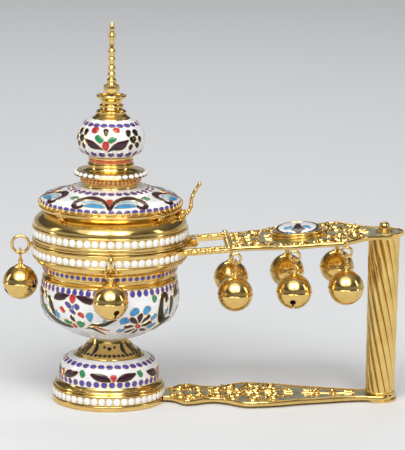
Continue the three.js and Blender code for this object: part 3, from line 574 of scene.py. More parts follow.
class Ornament:
    """Coloured cells and the wires round them, on one chart of one part."""

    def __init__(self, name, chart, body):
        self.name = name
        self.chart = chart
        self.body = body
        self.piles = {}
        self.wires = Pile()

    def pile(self, colour):
        return self.piles.setdefault(colour, Pile())

    def wire(self, edge, radius=WIRE_RADIUS):
        path = [self.chart.point(u, v, WIRE_RISE) for u, v in edge]
        outward = [self.chart.point(u, v, 1.0) - self.chart.point(u, v, 0.0) for u, v in edge]
        self.wires.tube(path, radius, joined=True, outward=outward)

    def stroke(self, colour, path, width, shape, steps, wire=WIRE_RADIUS, crown=CELL_CROWN):
        """A cell along a path of (u, v) points, as wide as its shape says."""
        line = evenly(spline(path, 8) if len(path) > 2 else list(path), steps, self.chart)
        loops = []
        left, right = [], []
        section = cushion(STROKE_SHOULDER, crown)
        for before, (u, v), after, step in zip(line, line[1:], line[2:], range(1, steps)):
            scale = self.chart.scale(u, v)
            along = Vector(((after[0] - before[0]) * scale, after[1] - before[1]))
            side = Vector((-along.y, along.x)).normalized() * width * shape(step / steps)
            loops.append([self.chart.point(u + side.x * w / scale, v + side.y * w, h) for w, h in section])
            left.append((u + side.x / scale, v + side.y))
            right.append((u - side.x / scale, v - side.y))
        self.pile(colour).skin(loops, self.chart.point(*line[0]), self.chart.point(*line[-1]))
        if wire:
            self.wire([line[0]] + left + [line[-1]] + right[::-1], wire)

    def cell(self, colour, edge, wire=WIRE_RADIUS):
        """A cell inside a closed line of (u, v) points that is seen whole from its middle."""
        u0 = sum(u for u, v in edge) / len(edge)
        v0 = sum(v for u, v in edge) / len(edge)
        loops = []
        for share, rise in CELL_LOOPS:
            loops.append([self.chart.point(u0 + (u - u0) * share, v0 + (v - v0) * share, rise)
                          for u, v in edge])
        poles = (self.chart.point(u0, v0, rise) for rise in (-CELL_SINK, CELL_CROWN))
        self.pile(colour).skin(loops, *poles)
        self.wire(edge, wire)

    def ribbon(self, colour, first, second, count=RIBBON_STEPS):
        """A cell between two edges that run the same way."""
        first = evenly(spline(first), count, self.chart)
        second = evenly(spline(second), count, self.chart)
        section = [((share + 1) / 2, h) for share, h in cushion(RIBBON_SHOULDER, CELL_CROWN)]
        loops = []
        for (u, v), (p, q) in zip(first, second):
            loops.append([self.chart.point(u + (p - u) * w, v + (q - v) * w, h) for w, h in section])
        self.pile(colour).skin(loops)
        self.wire(first + second[::-1])

    def dot(self, colour, centre, size, wire=WIRE_RADIUS, turn=0.0):
        """An oval cell. Its size is its half width and half height."""
        scale = self.chart.scale(*centre)
        c0, s0 = math.cos(math.radians(turn)), math.sin(math.radians(turn))
        edge = []
        for c, s in round_shares(DOT_SIDES):
            x, y = c * size[0], s * size[1]
            edge.append((centre[0] + (x * c0 - y * s0) / scale, centre[1] + x * s0 + y * c0))
        self.cell(colour, edge, wire)

    def row(self, colour, count, v, size, start=FRONT_DEG, turn=0.0, wire=WIRE_RADIUS):
        """A row of ovals round the axis. Turn is that of each oval."""
        for k in range(count):
            self.dot(colour, (start + 360 * k / count, v), size, wire, turn)

    def rows(self, rows):
        """Rows of purple ovals, from their count, height, size, start and turn."""
        for count, level, *rest in rows:
            self.row("purple", count, self.chart.level(level), *rest)

    def grown(self, edge, by):
        """The same closed line, moved outwards on the chart."""
        flat = [(u * self.chart.scale(u, v), v) for u, v in edge]
        area = sum(x * q - p * y for (x, y), (p, q) in zip(flat, flat[1:] + flat[:1]))
        sign = by if area > 0 else -by
        result = []
        for index, (u, v) in enumerate(edge):
            before, after = flat[index - 1], flat[(index + 1) % len(edge)]
            along = Vector((after[0] - before[0], after[1] - before[1]))
            if along.length < TINY:
                result.append((u, v))
                continue
            along.normalize()
            result.append((u + along.y * sign / self.chart.scale(u, v), v - along.x * sign))
        return result

    def traced(self, colour, pixels, repeats=1, mirror=None, growth=GROWTH, shift=0.0):
        """A cell whose outline was read off the photograph, repeated round the axis and mirrored if asked."""
        whole = self.grown(spline(seen_on(self.chart, pixels), 3, True), growth)
        for edge in copies([(u + shift, v) for u, v in whole], repeats, mirror):
            self.cell(colour, edge)

    def traced_ribbon(self, colour, first, second, repeats=1, mirror=None, growth=RIBBON_GROWTH):
        """A ribbon whose two edges were read off the photograph."""
        first = evenly(spline(seen_on(self.chart, first)), RIBBON_STEPS, self.chart)
        second = evenly(spline(seen_on(self.chart, second)), RIBBON_STEPS, self.chart)
        whole = self.grown(first + second[::-1], growth)
        first, second = whole[:RIBBON_STEPS + 1], whole[RIBBON_STEPS + 1:][::-1]
        for one, other in zip(copies(first, repeats, mirror), copies(second, repeats, mirror)):
            self.ribbon(colour, one, other)

    def traced_stroke(self, colour, pixels, width, shape, repeats):
        """A stroke whose path was read off the photograph."""
        for path in copies(seen_on(self.chart, pixels), repeats, None):
            self.stroke(colour, path, width, shape, STROKE_STEPS)

    def make(self):
        for colour, pile in self.piles.items():
            piece(f"{self.name}_{colour}", pile, GILT if colour == RELIEF else ENAMELS[colour], self.body)
        if self.wires.points:
            gilt(f"{self.name}_wires", self.wires, self.body)


def evenly(line, count, chart):
    """The same line in equal steps."""
    reach = [0.0]
    for (u, v), (p, q) in zip(line, line[1:]):
        scale = chart.scale((u + p) / 2, (v + q) / 2)
        reach.append(reach[-1] + math.hypot((p - u) * scale, q - v))
    result = []
    index = 0
    for step in range(count + 1):
        goal = reach[-1] * step / count
        while index < len(reach) - 2 and reach[index + 1] < goal:
            index += 1
        t = (goal - reach[index]) / max(reach[index + 1] - reach[index], TINY)
        (u, v), (p, q) = line[index], line[index + 1]
        result.append((u + (p - u) * t, v + (q - v) * t))
    return result


# Materials

GRAIN_DEPTH = 0.2 * MM
METAL_GRAINS = (90, 260, 420)
METAL_DENTS = 0.12
# Painted shade: how hollow a surface is, read from its pointiness, darkens the metal's colour towards this
# brown.
HOLLOW_SHADE = ((0.42, (0.35, 0.26, 0.16)), (0.5, (1, 1, 1)))
ENAMEL_GRAINS = (160, 500, 300)
ENAMEL_DENTS = 0.15
ENAMEL_DULLER = 0.12
CLOUD_ENDS = (0.3, 0.7)


def node_material(name):
    material = bpy.data.materials.new(name)
    material.use_nodes = True
    tree = material.node_tree
    return material, tree, tree.nodes["Principled BSDF"]


def noise(tree, scale, detail=3.0):
    """Noise in the object's own place, so that it stays the same on every piece."""
    where = tree.nodes.new("ShaderNodeTexCoord")
    cloud = tree.nodes.new("ShaderNodeTexNoise")
    cloud.inputs["Scale"].default_value = scale
    cloud.inputs["Detail"].default_value = detail
    cloud.inputs["Roughness"].default_value = 0.5
    tree.links.new(where.outputs["Object"], cloud.inputs["Vector"])
    return cloud.outputs["Fac"]


def ramp(tree, source, stops):
    """A colour or a level that follows a source."""
    band_node = tree.nodes.new("ShaderNodeValToRGB")
    elements = band_node.color_ramp.elements
    while len(elements) < len(stops):
        elements.new(0.5)
    for element, (place, colour) in zip(elements, stops):
        element.position = place
        element.color = (*colour, 1)
    tree.links.new(source, band_node.inputs["Fac"])
    return band_node.outputs["Color"]


def clouded(tree, scale, low, high):
    """A colour or a level that drifts between two ends."""
    return ramp(tree, noise(tree, scale), tuple(zip(CLOUD_ENDS, (low, high))))


def bump(tree, shader, source, strength):
    node = tree.nodes.new("ShaderNodeBump")
    node.inputs["Strength"].default_value = strength
    node.inputs["Distance"].default_value = GRAIN_DEPTH
    tree.links.new(source, node.inputs["Height"])
    tree.links.new(node.outputs["Normal"], shader.inputs["Normal"])


def metal(name, dark, light, rough_low, rough_high):
    """A polished metal, duller and darker in hollows, with faint wear. Its darkening in hollows is painted
    shade.
    """
    material, tree, shader = node_material(name)
    tone_grain, gloss_grain, dent_grain = METAL_GRAINS
    tone = clouded(tree, tone_grain, dark, light)
    # Painted shade: hollows darken the colour, standing in for shade in creases.
    edge = tree.nodes.new("ShaderNodeNewGeometry").outputs["Pointiness"]
    hollow = ramp(tree, edge, HOLLOW_SHADE)
    mix = tree.nodes.new("ShaderNodeMix")
    mix.data_type = "RGBA"
    mix.blend_type = "MULTIPLY"
    mix.inputs["Factor"].default_value = 1.0
    tree.links.new(tone, mix.inputs["A"])
    tree.links.new(hollow, mix.inputs["B"])
    tree.links.new(mix.outputs["Result"], shader.inputs["Base Color"])
    rough = clouded(tree, gloss_grain, (rough_low,) * 3, (rough_high,) * 3)
    tree.links.new(rough, shader.inputs["Roughness"])
    shader.inputs["Metallic"].default_value = 1.0
    bump(tree, shader, noise(tree, dent_grain, 2), METAL_DENTS)
    return material


def enamel(name, dark, light, gloss=0.2, coat=0.5):
    """Glassy enamel with a faint cloud in its colour."""
    material, tree, shader = node_material(name)
    tone_grain, gloss_grain, dent_grain = ENAMEL_GRAINS
    tone = clouded(tree, tone_grain, dark, light)
    tree.links.new(tone, shader.inputs["Base Color"])
    rough = clouded(tree, gloss_grain, (gloss,) * 3, (gloss + ENAMEL_DULLER,) * 3)
    tree.links.new(rough, shader.inputs["Roughness"])
    shader.inputs["Coat Weight"].default_value = coat
    shader.inputs["Coat Roughness"].default_value = 0.08
    bump(tree, shader, noise(tree, dent_grain, 2), ENAMEL_DENTS)
    return material


GILT = metal("gilt_metal", (0.74, 0.49, 0.15), (0.9, 0.64, 0.23), 0.11, 0.2)
GROUND = metal("polished_ground", (0.42, 0.42, 0.30), (0.56, 0.53, 0.36), 0.32, 0.45)
STEEL = metal("steel", (0.42, 0.42, 0.43), (0.56, 0.56, 0.57), 0.25, 0.4)
SOOT = metal("coal_pan_metal", (0.20, 0.18, 0.16), (0.36, 0.33, 0.29), 0.35, 0.55)
WHITE = enamel("white_enamel", (0.78, 0.78, 0.80), (0.86, 0.86, 0.87))
PEARL = enamel("pearl_enamel", (0.80, 0.79, 0.76), (0.90, 0.89, 0.86), 0.16)
ENAMELS = {
    "purple": enamel("purple_enamel", (0.05, 0.035, 0.26), (0.09, 0.06, 0.38)),
    "maroon": enamel("maroon_enamel", (0.022, 0.005, 0.01), (0.045, 0.01, 0.02), 0.16, 0.1),
    "sky": enamel("light_blue_enamel", (0.02, 0.22, 0.50), (0.06, 0.36, 0.62)),
    "pale": enamel("pale_blue_enamel", (0.30, 0.55, 0.68), (0.50, 0.68, 0.76)),
    "green": enamel("green_enamel", (0.008, 0.18, 0.07), (0.03, 0.30, 0.12)),
    "red": enamel("red_enamel", (0.42, 0.012, 0.02), (0.58, 0.03, 0.04)),
    "orange": enamel("orange_enamel", (0.55, 0.07, 0.015), (0.68, 0.14, 0.03)),
    "black": enamel("black_enamel", (0.005, 0.004, 0.004), (0.014, 0.011, 0.01), 0.16, 0.1),
}


# Foot

FOOT_RIM_SHARES = (
    [(0.965, 0), (1, 0.03), (1, 0.2), (0.985, 0.24), (0.955, 0.25)], [(0.955, 0.62)],
    [(0.995, 0.63), (1, 0.67), (0.99, 0.72)], [(0.962, 0.73)], [(0.972, 0.78), (0.962, 0.84)],
    [(0.94, 0.86), (0.905, 0.93), (0.888, 1)],
)
FOOT_DOME_SHARES = [(1, 0), (0.992, 0.4), (0.925, 0.75), (0.77, 0.93), (0.69, 0.985)]
FOOT_PEARLS = 46
FOOT_PEARL = (2.2, 2.45)
FOOT_MOUTH_SHARE = 0.86
FOOT_WALL_SHARE = 0.9
FOOT_HOLLOW_SHARE = 0.7
FOOT_LIP = 0.4
BAND_SETBACK = 0.55
BAND_DEPTH = 1
PEARL_PROUD = 0.85
PEARL_RINGS = 5
PEARL_SIDES = 14
PEARL_FOOT_SHARE = 0.7


def foot():
    high = box_mm("foot_rim")[1]
    wall = FOOT_WALL_SHARE * high.y
    rim = share_runs("foot_rim", FOOT_RIM_SHARES, 0)
    inner = [(FOOT_MOUTH_SHARE * high.y, high.z - FOOT_LIP), (wall, FOOT_HOLLOW_SHARE * high.z), (wall, 0)]
    gilt("foot_rim_shape", turned_ring(rim + inner), STAND, "foot_rim")
    pearl_row("foot_pearls", "foot_pearl_band", STAND, FOOT_PEARLS, FOOT_PEARL)
    line = spline(outline_of("foot_dome", FOOT_DOME_SHARES))
    return turned_piece(white, "foot_dome_skin", "foot_dome", line, SKIN_WALL, STAND)


def pearl_row(name, node, body, count, size):
    """A gold band with a row of white enamel pearls set in it."""
    low, high = box_mm(node)
    radius = high.y - BAND_SETBACK
    level = (low.z + high.z) / 2
    gilt(name + "_band", turned_ring(oblong(radius - BAND_DEPTH, radius, low.z, high.z)), body, node)
    pearls = Pile()
    for k in range(count):
        out = facing(math.tau * k / count + math.radians(FRONT_DEG))
        pearl(pearls, out * radius + Vector((0, 0, level)), out, Vector((0, 0, 1)), size, PEARL_PROUD)
    piece(name, pearls, PEARL, body)


def pearl(pile, centre, out, up, size, proud):
    half_width, half_height = size
    side = up.cross(out)
    loops = []
    for ring in range(-1, PEARL_RINGS):
        angle = ring * math.pi / (2 * PEARL_RINGS)
        wide, rise = math.cos(angle), math.sin(angle)
        loop_middle = centre + out * (rise * proud)
        loops.append([loop_middle + (side * (c * half_width) + up * (s * half_height)) * wide
                      for c, s in round_shares(PEARL_SIDES)])
    pile.skin(loops, centre - out * proud * PEARL_FOOT_SHARE, centre + out * proud)


# Neck

NECK_SHARES = (
    [(1.03, -0.14), (1.05, -0.11), (1.04, -0.05), (1.0, -0.01)],
    [(0.97, 0.06), (0.84, 0.24), (0.7, 0.48), (0.6, 0.72), (0.56, 0.93)], [(0.55, 1)],
)


def neck():
    line = share_runs("foot_neck", NECK_SHARES)
    return turned_piece(gilt, "foot_neck_shape", "foot_neck", line, THICK_WALL, STAND)


# Bowl

BOWL_SHARES = [(0.284, 0), (0.38, 0.045), (0.54, 0.1), (0.65, 0.17), (0.725, 0.22), (0.835, 0.3),
               (0.91, 0.37), (0.965, 0.48), (0.993, 0.6), (1, 0.77), (0.985, 0.9), (0.965, 1)]
COLLAR_SHARES = (
    [(0.87, 0), (0.882, 0.04), (0.884, 0.08), (0.875, 0.12)], [(0.845, 0.2), (0.84, 0.26), (0.845, 0.33)],
    [(0.874, 0.37)], [(0.876, 0.64)], [(0.86, 0.68)], [(0.9, 0.71), (0.955, 0.78), (0.985, 0.89), (1, 1)],
)
RING_DEPTH = 3
RING_TOP = 102.1
RIM_PEARLS = 62
RIM_PEARL = (2.25, 2.45)
CHANNEL_DEPTH = 1.8
LOWER_LIP = 0.4
UPPER_LIP = 0.3
RING_FOOT = ((1, 0), (0, 0.35))
RING_UNDER = ((0, -0.35), (LOWER_LIP, 0))
RING_OVER = ((UPPER_LIP, 0), (0, 0.5))
RING_HEAD = ((0, -0.5), (0.5, 0))


def bowl():
    line = spline(outline_of("bowl", BOWL_SHARES), 4)
    skin = turned_piece(white, "bowl_skin", "bowl", line, THICK_WALL, STAND)
    collar_line = share_runs("bowl_collar", COLLAR_SHARES)
    collar = turned_piece(gilt, "bowl_collar_shape", "bowl_collar", collar_line, GILT_WALL, STAND)
    rim_ring()
    return skin, collar


def set_back(outer, level, pairs):
    """Points of an outline, from pairs of setback and height."""
    return [(outer - back, level + rise) for back, rise in pairs]


def channel_runs(outer, under, over):
    """The channel that holds a pearl band."""
    deep = outer - CHANNEL_DEPTH
    return [(deep, under)], [(deep, over)], [(outer - UPPER_LIP, over)]


def rim_ring():
    """The bowl's ring, with round beads above and below the channel of its pearl band."""
    low, high = box_mm("bowl_rim_ring")
    band_low, band_high = box_mm("bowl_pearl_band")
    outer = high.y
    inner = outer - RING_DEPTH
    foot, head = low.z - SEAM, min(high.z, RING_TOP)
    lower = set_back(outer, foot, RING_FOOT) + set_back(outer, band_low.z, RING_UNDER)
    upper = set_back(outer, band_high.z, RING_OVER) + set_back(outer, head, RING_HEAD)
    channel = channel_runs(outer, band_low.z, band_high.z)
    line = runs([(inner, foot), lower[0]], lower[1:], *channel, upper[1:], [(inner, head)])
    gilt("bowl_rim_shape", turned_ring(line), STAND, "bowl_rim_ring")


# Lid

SHOULDER_SHARES = [(0.985, 0.6), (0.98, 0.68), (0.955, 0.79), (0.9, 0.9), (0.84, 0.97), (0.825, 1)]
DISC_RIM_SHARES = (
    [(0.91, 0), (0.935, 0.1), (0.972, 0.3), (0.985, 0.42)], [(1, 0.45), (1, 0.55), (0.985, 0.59)],
    [(0.98, 0.64), (0.985, 0.7)], [(1, 0.73), (1, 0.78), (0.985, 0.81), (0.965, 0.82)],
)
DISC_SHARES = [(1.018, -0.16), (1.016, -0.06), (0.997, 0.08), (0.938, 0.25), (0.86, 0.37), (0.78, 0.455),
               (0.71, 0.534), (0.665, 0.606), (0.62, 0.679), (0.55, 0.762), (0.48, 0.824), (0.4, 0.86)]
LID_FOOT_GAP = 0.15
LID_FOOT_BEAD = ((0.8, 0), (0, 0.4), (0, 1.2), (0.5, 1.6))
LID_LOWER_BEAD = ((0.6, -0.9), (0, -0.6), (LOWER_LIP, 0))
LID_UPPER_BEAD = ((UPPER_LIP, 0), (0, 0.5), (0, 1.1), (0.5, 1.5))
LID_BEND = (1, -3)
LID_INSIDE = ((2.6, 0.6), (3, 0.45))
LID_PEARL = (2.25, 2.5)
RIM_TEETH = 56
TOOTH_RADIUS = 1.15
TOOTH_SETBACK = 0.25
TOOTH_DROP = 1.9
TOOTH_SQUASH = (0.9, 0.9, 0.95)


def lid():
    high = box_mm("lid_shell")[1]
    band_low, band_high = box_mm("lid_pearl_band")
    outer = high.y
    foot = middle("hinge_pin").z + LID_FOOT_GAP
    tall = high.z - foot
    shoulder = [(share * outer, foot + level * tall) for share, level in SHOULDER_SHARES]
    foot_bead = set_back(outer, foot, LID_FOOT_BEAD)
    lower_bead = set_back(outer, band_low.z, LID_LOWER_BEAD)
    upper_bead = set_back(outer, band_high.z, LID_UPPER_BEAD)
    mouth = (shoulder[-1][0] - GILT_WALL, high.z)
    bend = (shoulder[-3][0] - LID_BEND[0], high.z + LID_BEND[1])
    line = runs(
        [(outer - RING_DEPTH, foot), foot_bead[0]], foot_bead[1:],
        lower_bead[:1], lower_bead[1:],
        *channel_runs(outer, band_low.z, band_high.z),
        upper_bead[1:],
        shoulder[:1], shoulder[1:],
        [mouth],
        [bend] + [(outer - wall, foot + share * tall) for wall, share in LID_INSIDE],
    )
    gilt("lid_shape", turned_ring(line), LID, "lid_shell")
    pearl_row("lid_pearls", "lid_pearl_band", LID, RIM_PEARLS, LID_PEARL)


BRACKETS = 4
BRACKET_START_DEG = 45
BRACKET_SETBACK = 0.9
BRACKET_RISE = 2.6
BRACKET_STEPS = 40
BRACKET_TURNS = 1.6
BRACKET_REACH = 2.5
BRACKET_WIND = 1.7
BRACKET_WIRE = 0.62
BRACKET_EYE = 1.05
BRACKET_BOSSES = 6
BRACKET_BOSS = 0.8
BRACKET_BOSS_SINK = 0.5
BRACKET_BOSS_RING = (3.0, 2.2)


def scroll_bracket(pile, angle):
    """A rosette of wire under the edge of the disc."""
    low, high = box_mm("lid_disc_rim")
    out = facing(angle)
    side = Vector((-math.sin(angle), math.cos(angle), 0))
    centre = out * (high.y - BRACKET_SETBACK) + Vector((0, 0, low.z + BRACKET_RISE))
    last = BRACKET_STEPS - 1
    path = []
    for step in range(BRACKET_STEPS):
        turn = step / last * math.tau * BRACKET_TURNS
        reach = BRACKET_REACH - BRACKET_WIND * step / last
        path.append(centre + side * (reach * math.cos(turn)) + Vector((0, 0, reach * math.sin(turn))))
    pile.tube(path, BRACKET_WIRE, sides=8, outward=[out] * len(path))
    pile.ball(centre, BRACKET_EYE)
    wide, tall = BRACKET_BOSS_RING
    for c, s in round_shares(BRACKET_BOSSES):
        boss = centre - out * BRACKET_BOSS_SINK + side * (wide * c) + Vector((0, 0, tall * s))
        pile.ball(boss, BRACKET_BOSS)


def lid_disc():
    pile = Pile()
    pile.turned(shell(share_runs("lid_disc_rim", DISC_RIM_SHARES), GILT_WALL))
    high = box_mm("lid_disc_rim")[1]
    for k in range(RIM_TEETH):
        out = facing(math.tau * (k + 0.5) / RIM_TEETH + math.radians(FRONT_DEG))
        centre = out * (high.y - TOOTH_SETBACK) + Vector((0, 0, high.z - TOOTH_DROP))
        pile.ball(centre, TOOTH_RADIUS, TOOTH_SQUASH, rings=6, steps=10)
    for k in range(BRACKETS):
        scroll_bracket(pile, math.radians(BRACKET_START_DEG + 360 * k / BRACKETS))
    gilt("disc_rim_shape", pile, LID, "lid_disc_rim")
    line = spline(outline_of("lid_disc", DISC_SHARES))
    return turned_piece(white, "disc_skin", "lid_disc", line, SKIN_WALL, LID)


LEVER_BALL_SHIFT = Vector((-1.5, -1.2, -1.1))
LEVER_BEADS = 7
LEVER_TIP_SETBACK = Vector((0.8, 0, 0.3))
LEVER_BENDS = (Vector((2.6, 0.3, 0.1)), Vector((4.2, 0.8, 1.6)), Vector((5.6, 1.1, 4.6)))
LEVER_LAST_BEND_SHARE = 0.4
LEVER_WIDE = 1.45
LEVER_TAPER = 0.35
LEVER_WAIST_SHARE = 0.74
LEVER_BALLS = ((0.62, 1.35), (0.8, 1.3), (1, 1.25))


def thumb_lever():
    """A ball, and a beaded rod that grows from its outer side and leans outwards."""
    low, high = box_mm("thumb_lever")
    radius = high.y
    ball = Vector((low.x + radius, 0, low.z + radius)) + LEVER_BALL_SHIFT
    tip = Vector((high.x, 0, high.z)) - LEVER_TIP_SETBACK
    pile = Pile()
    pile.ball(ball, radius, rings=16, steps=24)
    bends = [ball] + [ball + bend for bend in LEVER_BENDS] + [tip.lerp(ball, LEVER_LAST_BEND_SHARE), tip]
    path = [Vector(point) for point in spline([tuple(point) for point in bends], 14)]
    widths = []
    for step in range(len(path)):
        t = step / (len(path) - 1)
        bead = abs(math.cos(math.pi * LEVER_BEADS * t)) ** 0.6
        widths.append((LEVER_WIDE - LEVER_TAPER * t) * (LEVER_WAIST_SHARE + (1 - LEVER_WAIST_SHARE) * bead))
    pile.tube(path, widths, sides=14)
    for share, size in LEVER_BALLS:
        pile.ball(path[int(share * (len(path) - 1))], size)
    gilt("thumb_lever_shape", pile, LID, "thumb_lever")


# Finial: pearl collar, red ring, knob, cap and spire

PEARL_COLLAR_SHARES = (
    [(0.77, -0.28), (0.8, -0.26), (0.805, -0.2), (0.78, -0.16)],
    [(0.745, -0.08), (0.74, 0.0), (0.765, 0.06)], [(0.805, 0.08)], [(0.815, 0.28)],
    [(0.84, 0.31), (0.91, 0.37), (0.97, 0.42)], [(1, 0.45), (0.985, 0.49)], [(0.93, 0.62)],
    [(0.9, 0.65), (0.87, 0.645), (0.8, 0.655)], [(0.74, 0.67), (0.66, 0.73), (0.625, 0.85), (0.63, 0.95)],
    [(0.61, 1)],
)
DRUM_SHARES = (
    [(0.95, 0), (0.985, 0.04), (0.99, 0.14), (0.95, 0.2)], [(0.95, 0.66)],
    [(0.99, 0.7), (1, 0.82), (1, 0.95), (0.96, 1)],
)
DRUM_BAND = (0.22, 0.64)
KNOB_SHARES = [(0.64, 0), (0.76, 0.03), (0.86, 0.1), (0.945, 0.21), (0.99, 0.36), (1, 0.43), (0.985, 0.52),
               (0.93, 0.65), (0.83, 0.765), (0.7, 0.865), (0.56, 0.92)]
CAP_SHARES = (
    [(0.95, -0.2), (0.985, -0.17), (0.96, -0.12), (0.9, -0.08)], [(0.84, -0.04), (0.76, 0.04), (0.7, 0.1)],
    [(0.76, 0.13), (0.76, 0.2), (0.69, 0.25)], [(0.58, 0.3), (0.54, 0.38)],
    [(0.61, 0.42), (0.61, 0.5), (0.53, 0.54)], [(0.52, 0.62), (0.58, 0.74), (0.68, 0.84)],
    [(0.76, 0.88), (0.77, 0.95), (0.74, 1)], [(0.6, 1)],
)
DRUM_BAND_SHARES = ((0.93, 0), (0.97, 0), (0.985, 0.5), (0.97, 1), (0.93, 1))
COLLAR_PEARLS = 31
COLLAR_PEARL = (1.9, 1.35)
COLLAR_PEARL_PROUD = 0.8
COLLAR_PEARL_STEP = 0.2
COLLAR_PEARL_RISE = 7.1
COLLAR_DOTS = 42
COLLAR_DOT = (1.05, 1.05)
COLLAR_DOT_RISE = 2.35


def finial():
    pearl_collar()
    red_drum()
    knob_line = spline(outline_of("knob", KNOB_SHARES), 8)
    chart = turned_piece(white, "knob_skin", "knob", knob_line, KNOB_WALL, LID)
    turned_piece(gilt, "knob_cap_shape", "knob_cap", share_runs("knob_cap", CAP_SHARES), GILT_WALL, LID, 96)
    spire()
    return chart


def pearl_collar():
    line = share_runs("pearl_collar", PEARL_COLLAR_SHARES)
    chart = turned_piece(gilt, "pearl_collar_shape", "pearl_collar", line, GILT_WALL, LID)
    foot = box_mm("pearl_collar")[0].z
    where = chart.level(foot + COLLAR_PEARL_RISE)
    pearls = Pile()
    for k in range(COLLAR_PEARLS):
        u = FRONT_DEG + 360 * k / COLLAR_PEARLS
        base = chart.point(u, where)
        out = (chart.point(u, where, 1) - base).normalized()
        up = (chart.point(u, where + COLLAR_PEARL_STEP) - base).normalized()
        pearl(pearls, base, out, up, COLLAR_PEARL, COLLAR_PEARL_PROUD)
    piece("collar_pearls", pearls, PEARL, LID)
    dots = Ornament("collar_dots", chart, LID)
    dots.row("orange", COLLAR_DOTS, chart.level(foot + COLLAR_DOT_RISE), COLLAR_DOT)
    dots.make()


def red_drum():
    turned_piece(gilt, "red_drum_shape", "red_drum", share_runs("red_drum", DRUM_SHARES), GILT_WALL, LID)
    low, high = box_mm("red_drum")
    foot, head = (low.z + (high.z - low.z) * share for share in DRUM_BAND)
    red = [(high.y * wide, foot + (head - foot) * level) for wide, level in DRUM_BAND_SHARES]
    piece("red_drum_enamel", turned_ring(red), ENAMELS["orange"], LID)


SPIRE_NUT_SHARES = ((0.6, 0.035), (0.97, 0.04), (1, 0.06), (1, 0.11), (0.94, 0.128), (0.6, 0.14))
SPIRE_SHANK = ((2.8, 0.04), (3.1, 0.14))
SPIRE_BEADS = ((2.6, 0.16), (3.1, 0.175), (3.0, 0.2), (1.9, 0.225), (1.8, 0.235), (2.5, 0.27),
               (1.85, 0.305), (1.8, 0.32), (2.55, 0.355), (1.85, 0.395), (1.7, 0.42), (1.8, 0.445),
               (2.3, 0.48),
               (1.75, 0.515), (1.7, 0.54), (2.35, 0.585), (1.7, 0.63), (1.4, 0.68), (1.55, 0.735),
               (2.35, 0.79),
               (1.6, 0.85), (1.45, 0.875), (1.6, 0.9), (1.35, 0.94), (0.7, 0.975))
SPIRE_TIP = 0.25


def spire():
    """A six-sided nut with a beaded rod that ends in a bud. Heights are shares of the spire's own."""
    low, high = box_mm("spire")

    def at(pairs):
        return [(radius, low.z + share * (high.z - low.z)) for radius, share in pairs]

    pile = Pile()
    pile.turned_solid([(share * high.y, z) for share, z in at(SPIRE_NUT_SHARES)], 6)
    shank = at(SPIRE_SHANK)
    rod = runs([(shank[0][0], low.z - SEAM), shank[0]], shank[1:], at(SPIRE_BEADS) + [(SPIRE_TIP, high.z)])
    pile.turned_solid(rod, 40)
    gilt("spire_shape", pile, LID, "spire")


# Enamel pictures. Numbers in pairs are pixels of the photograph.

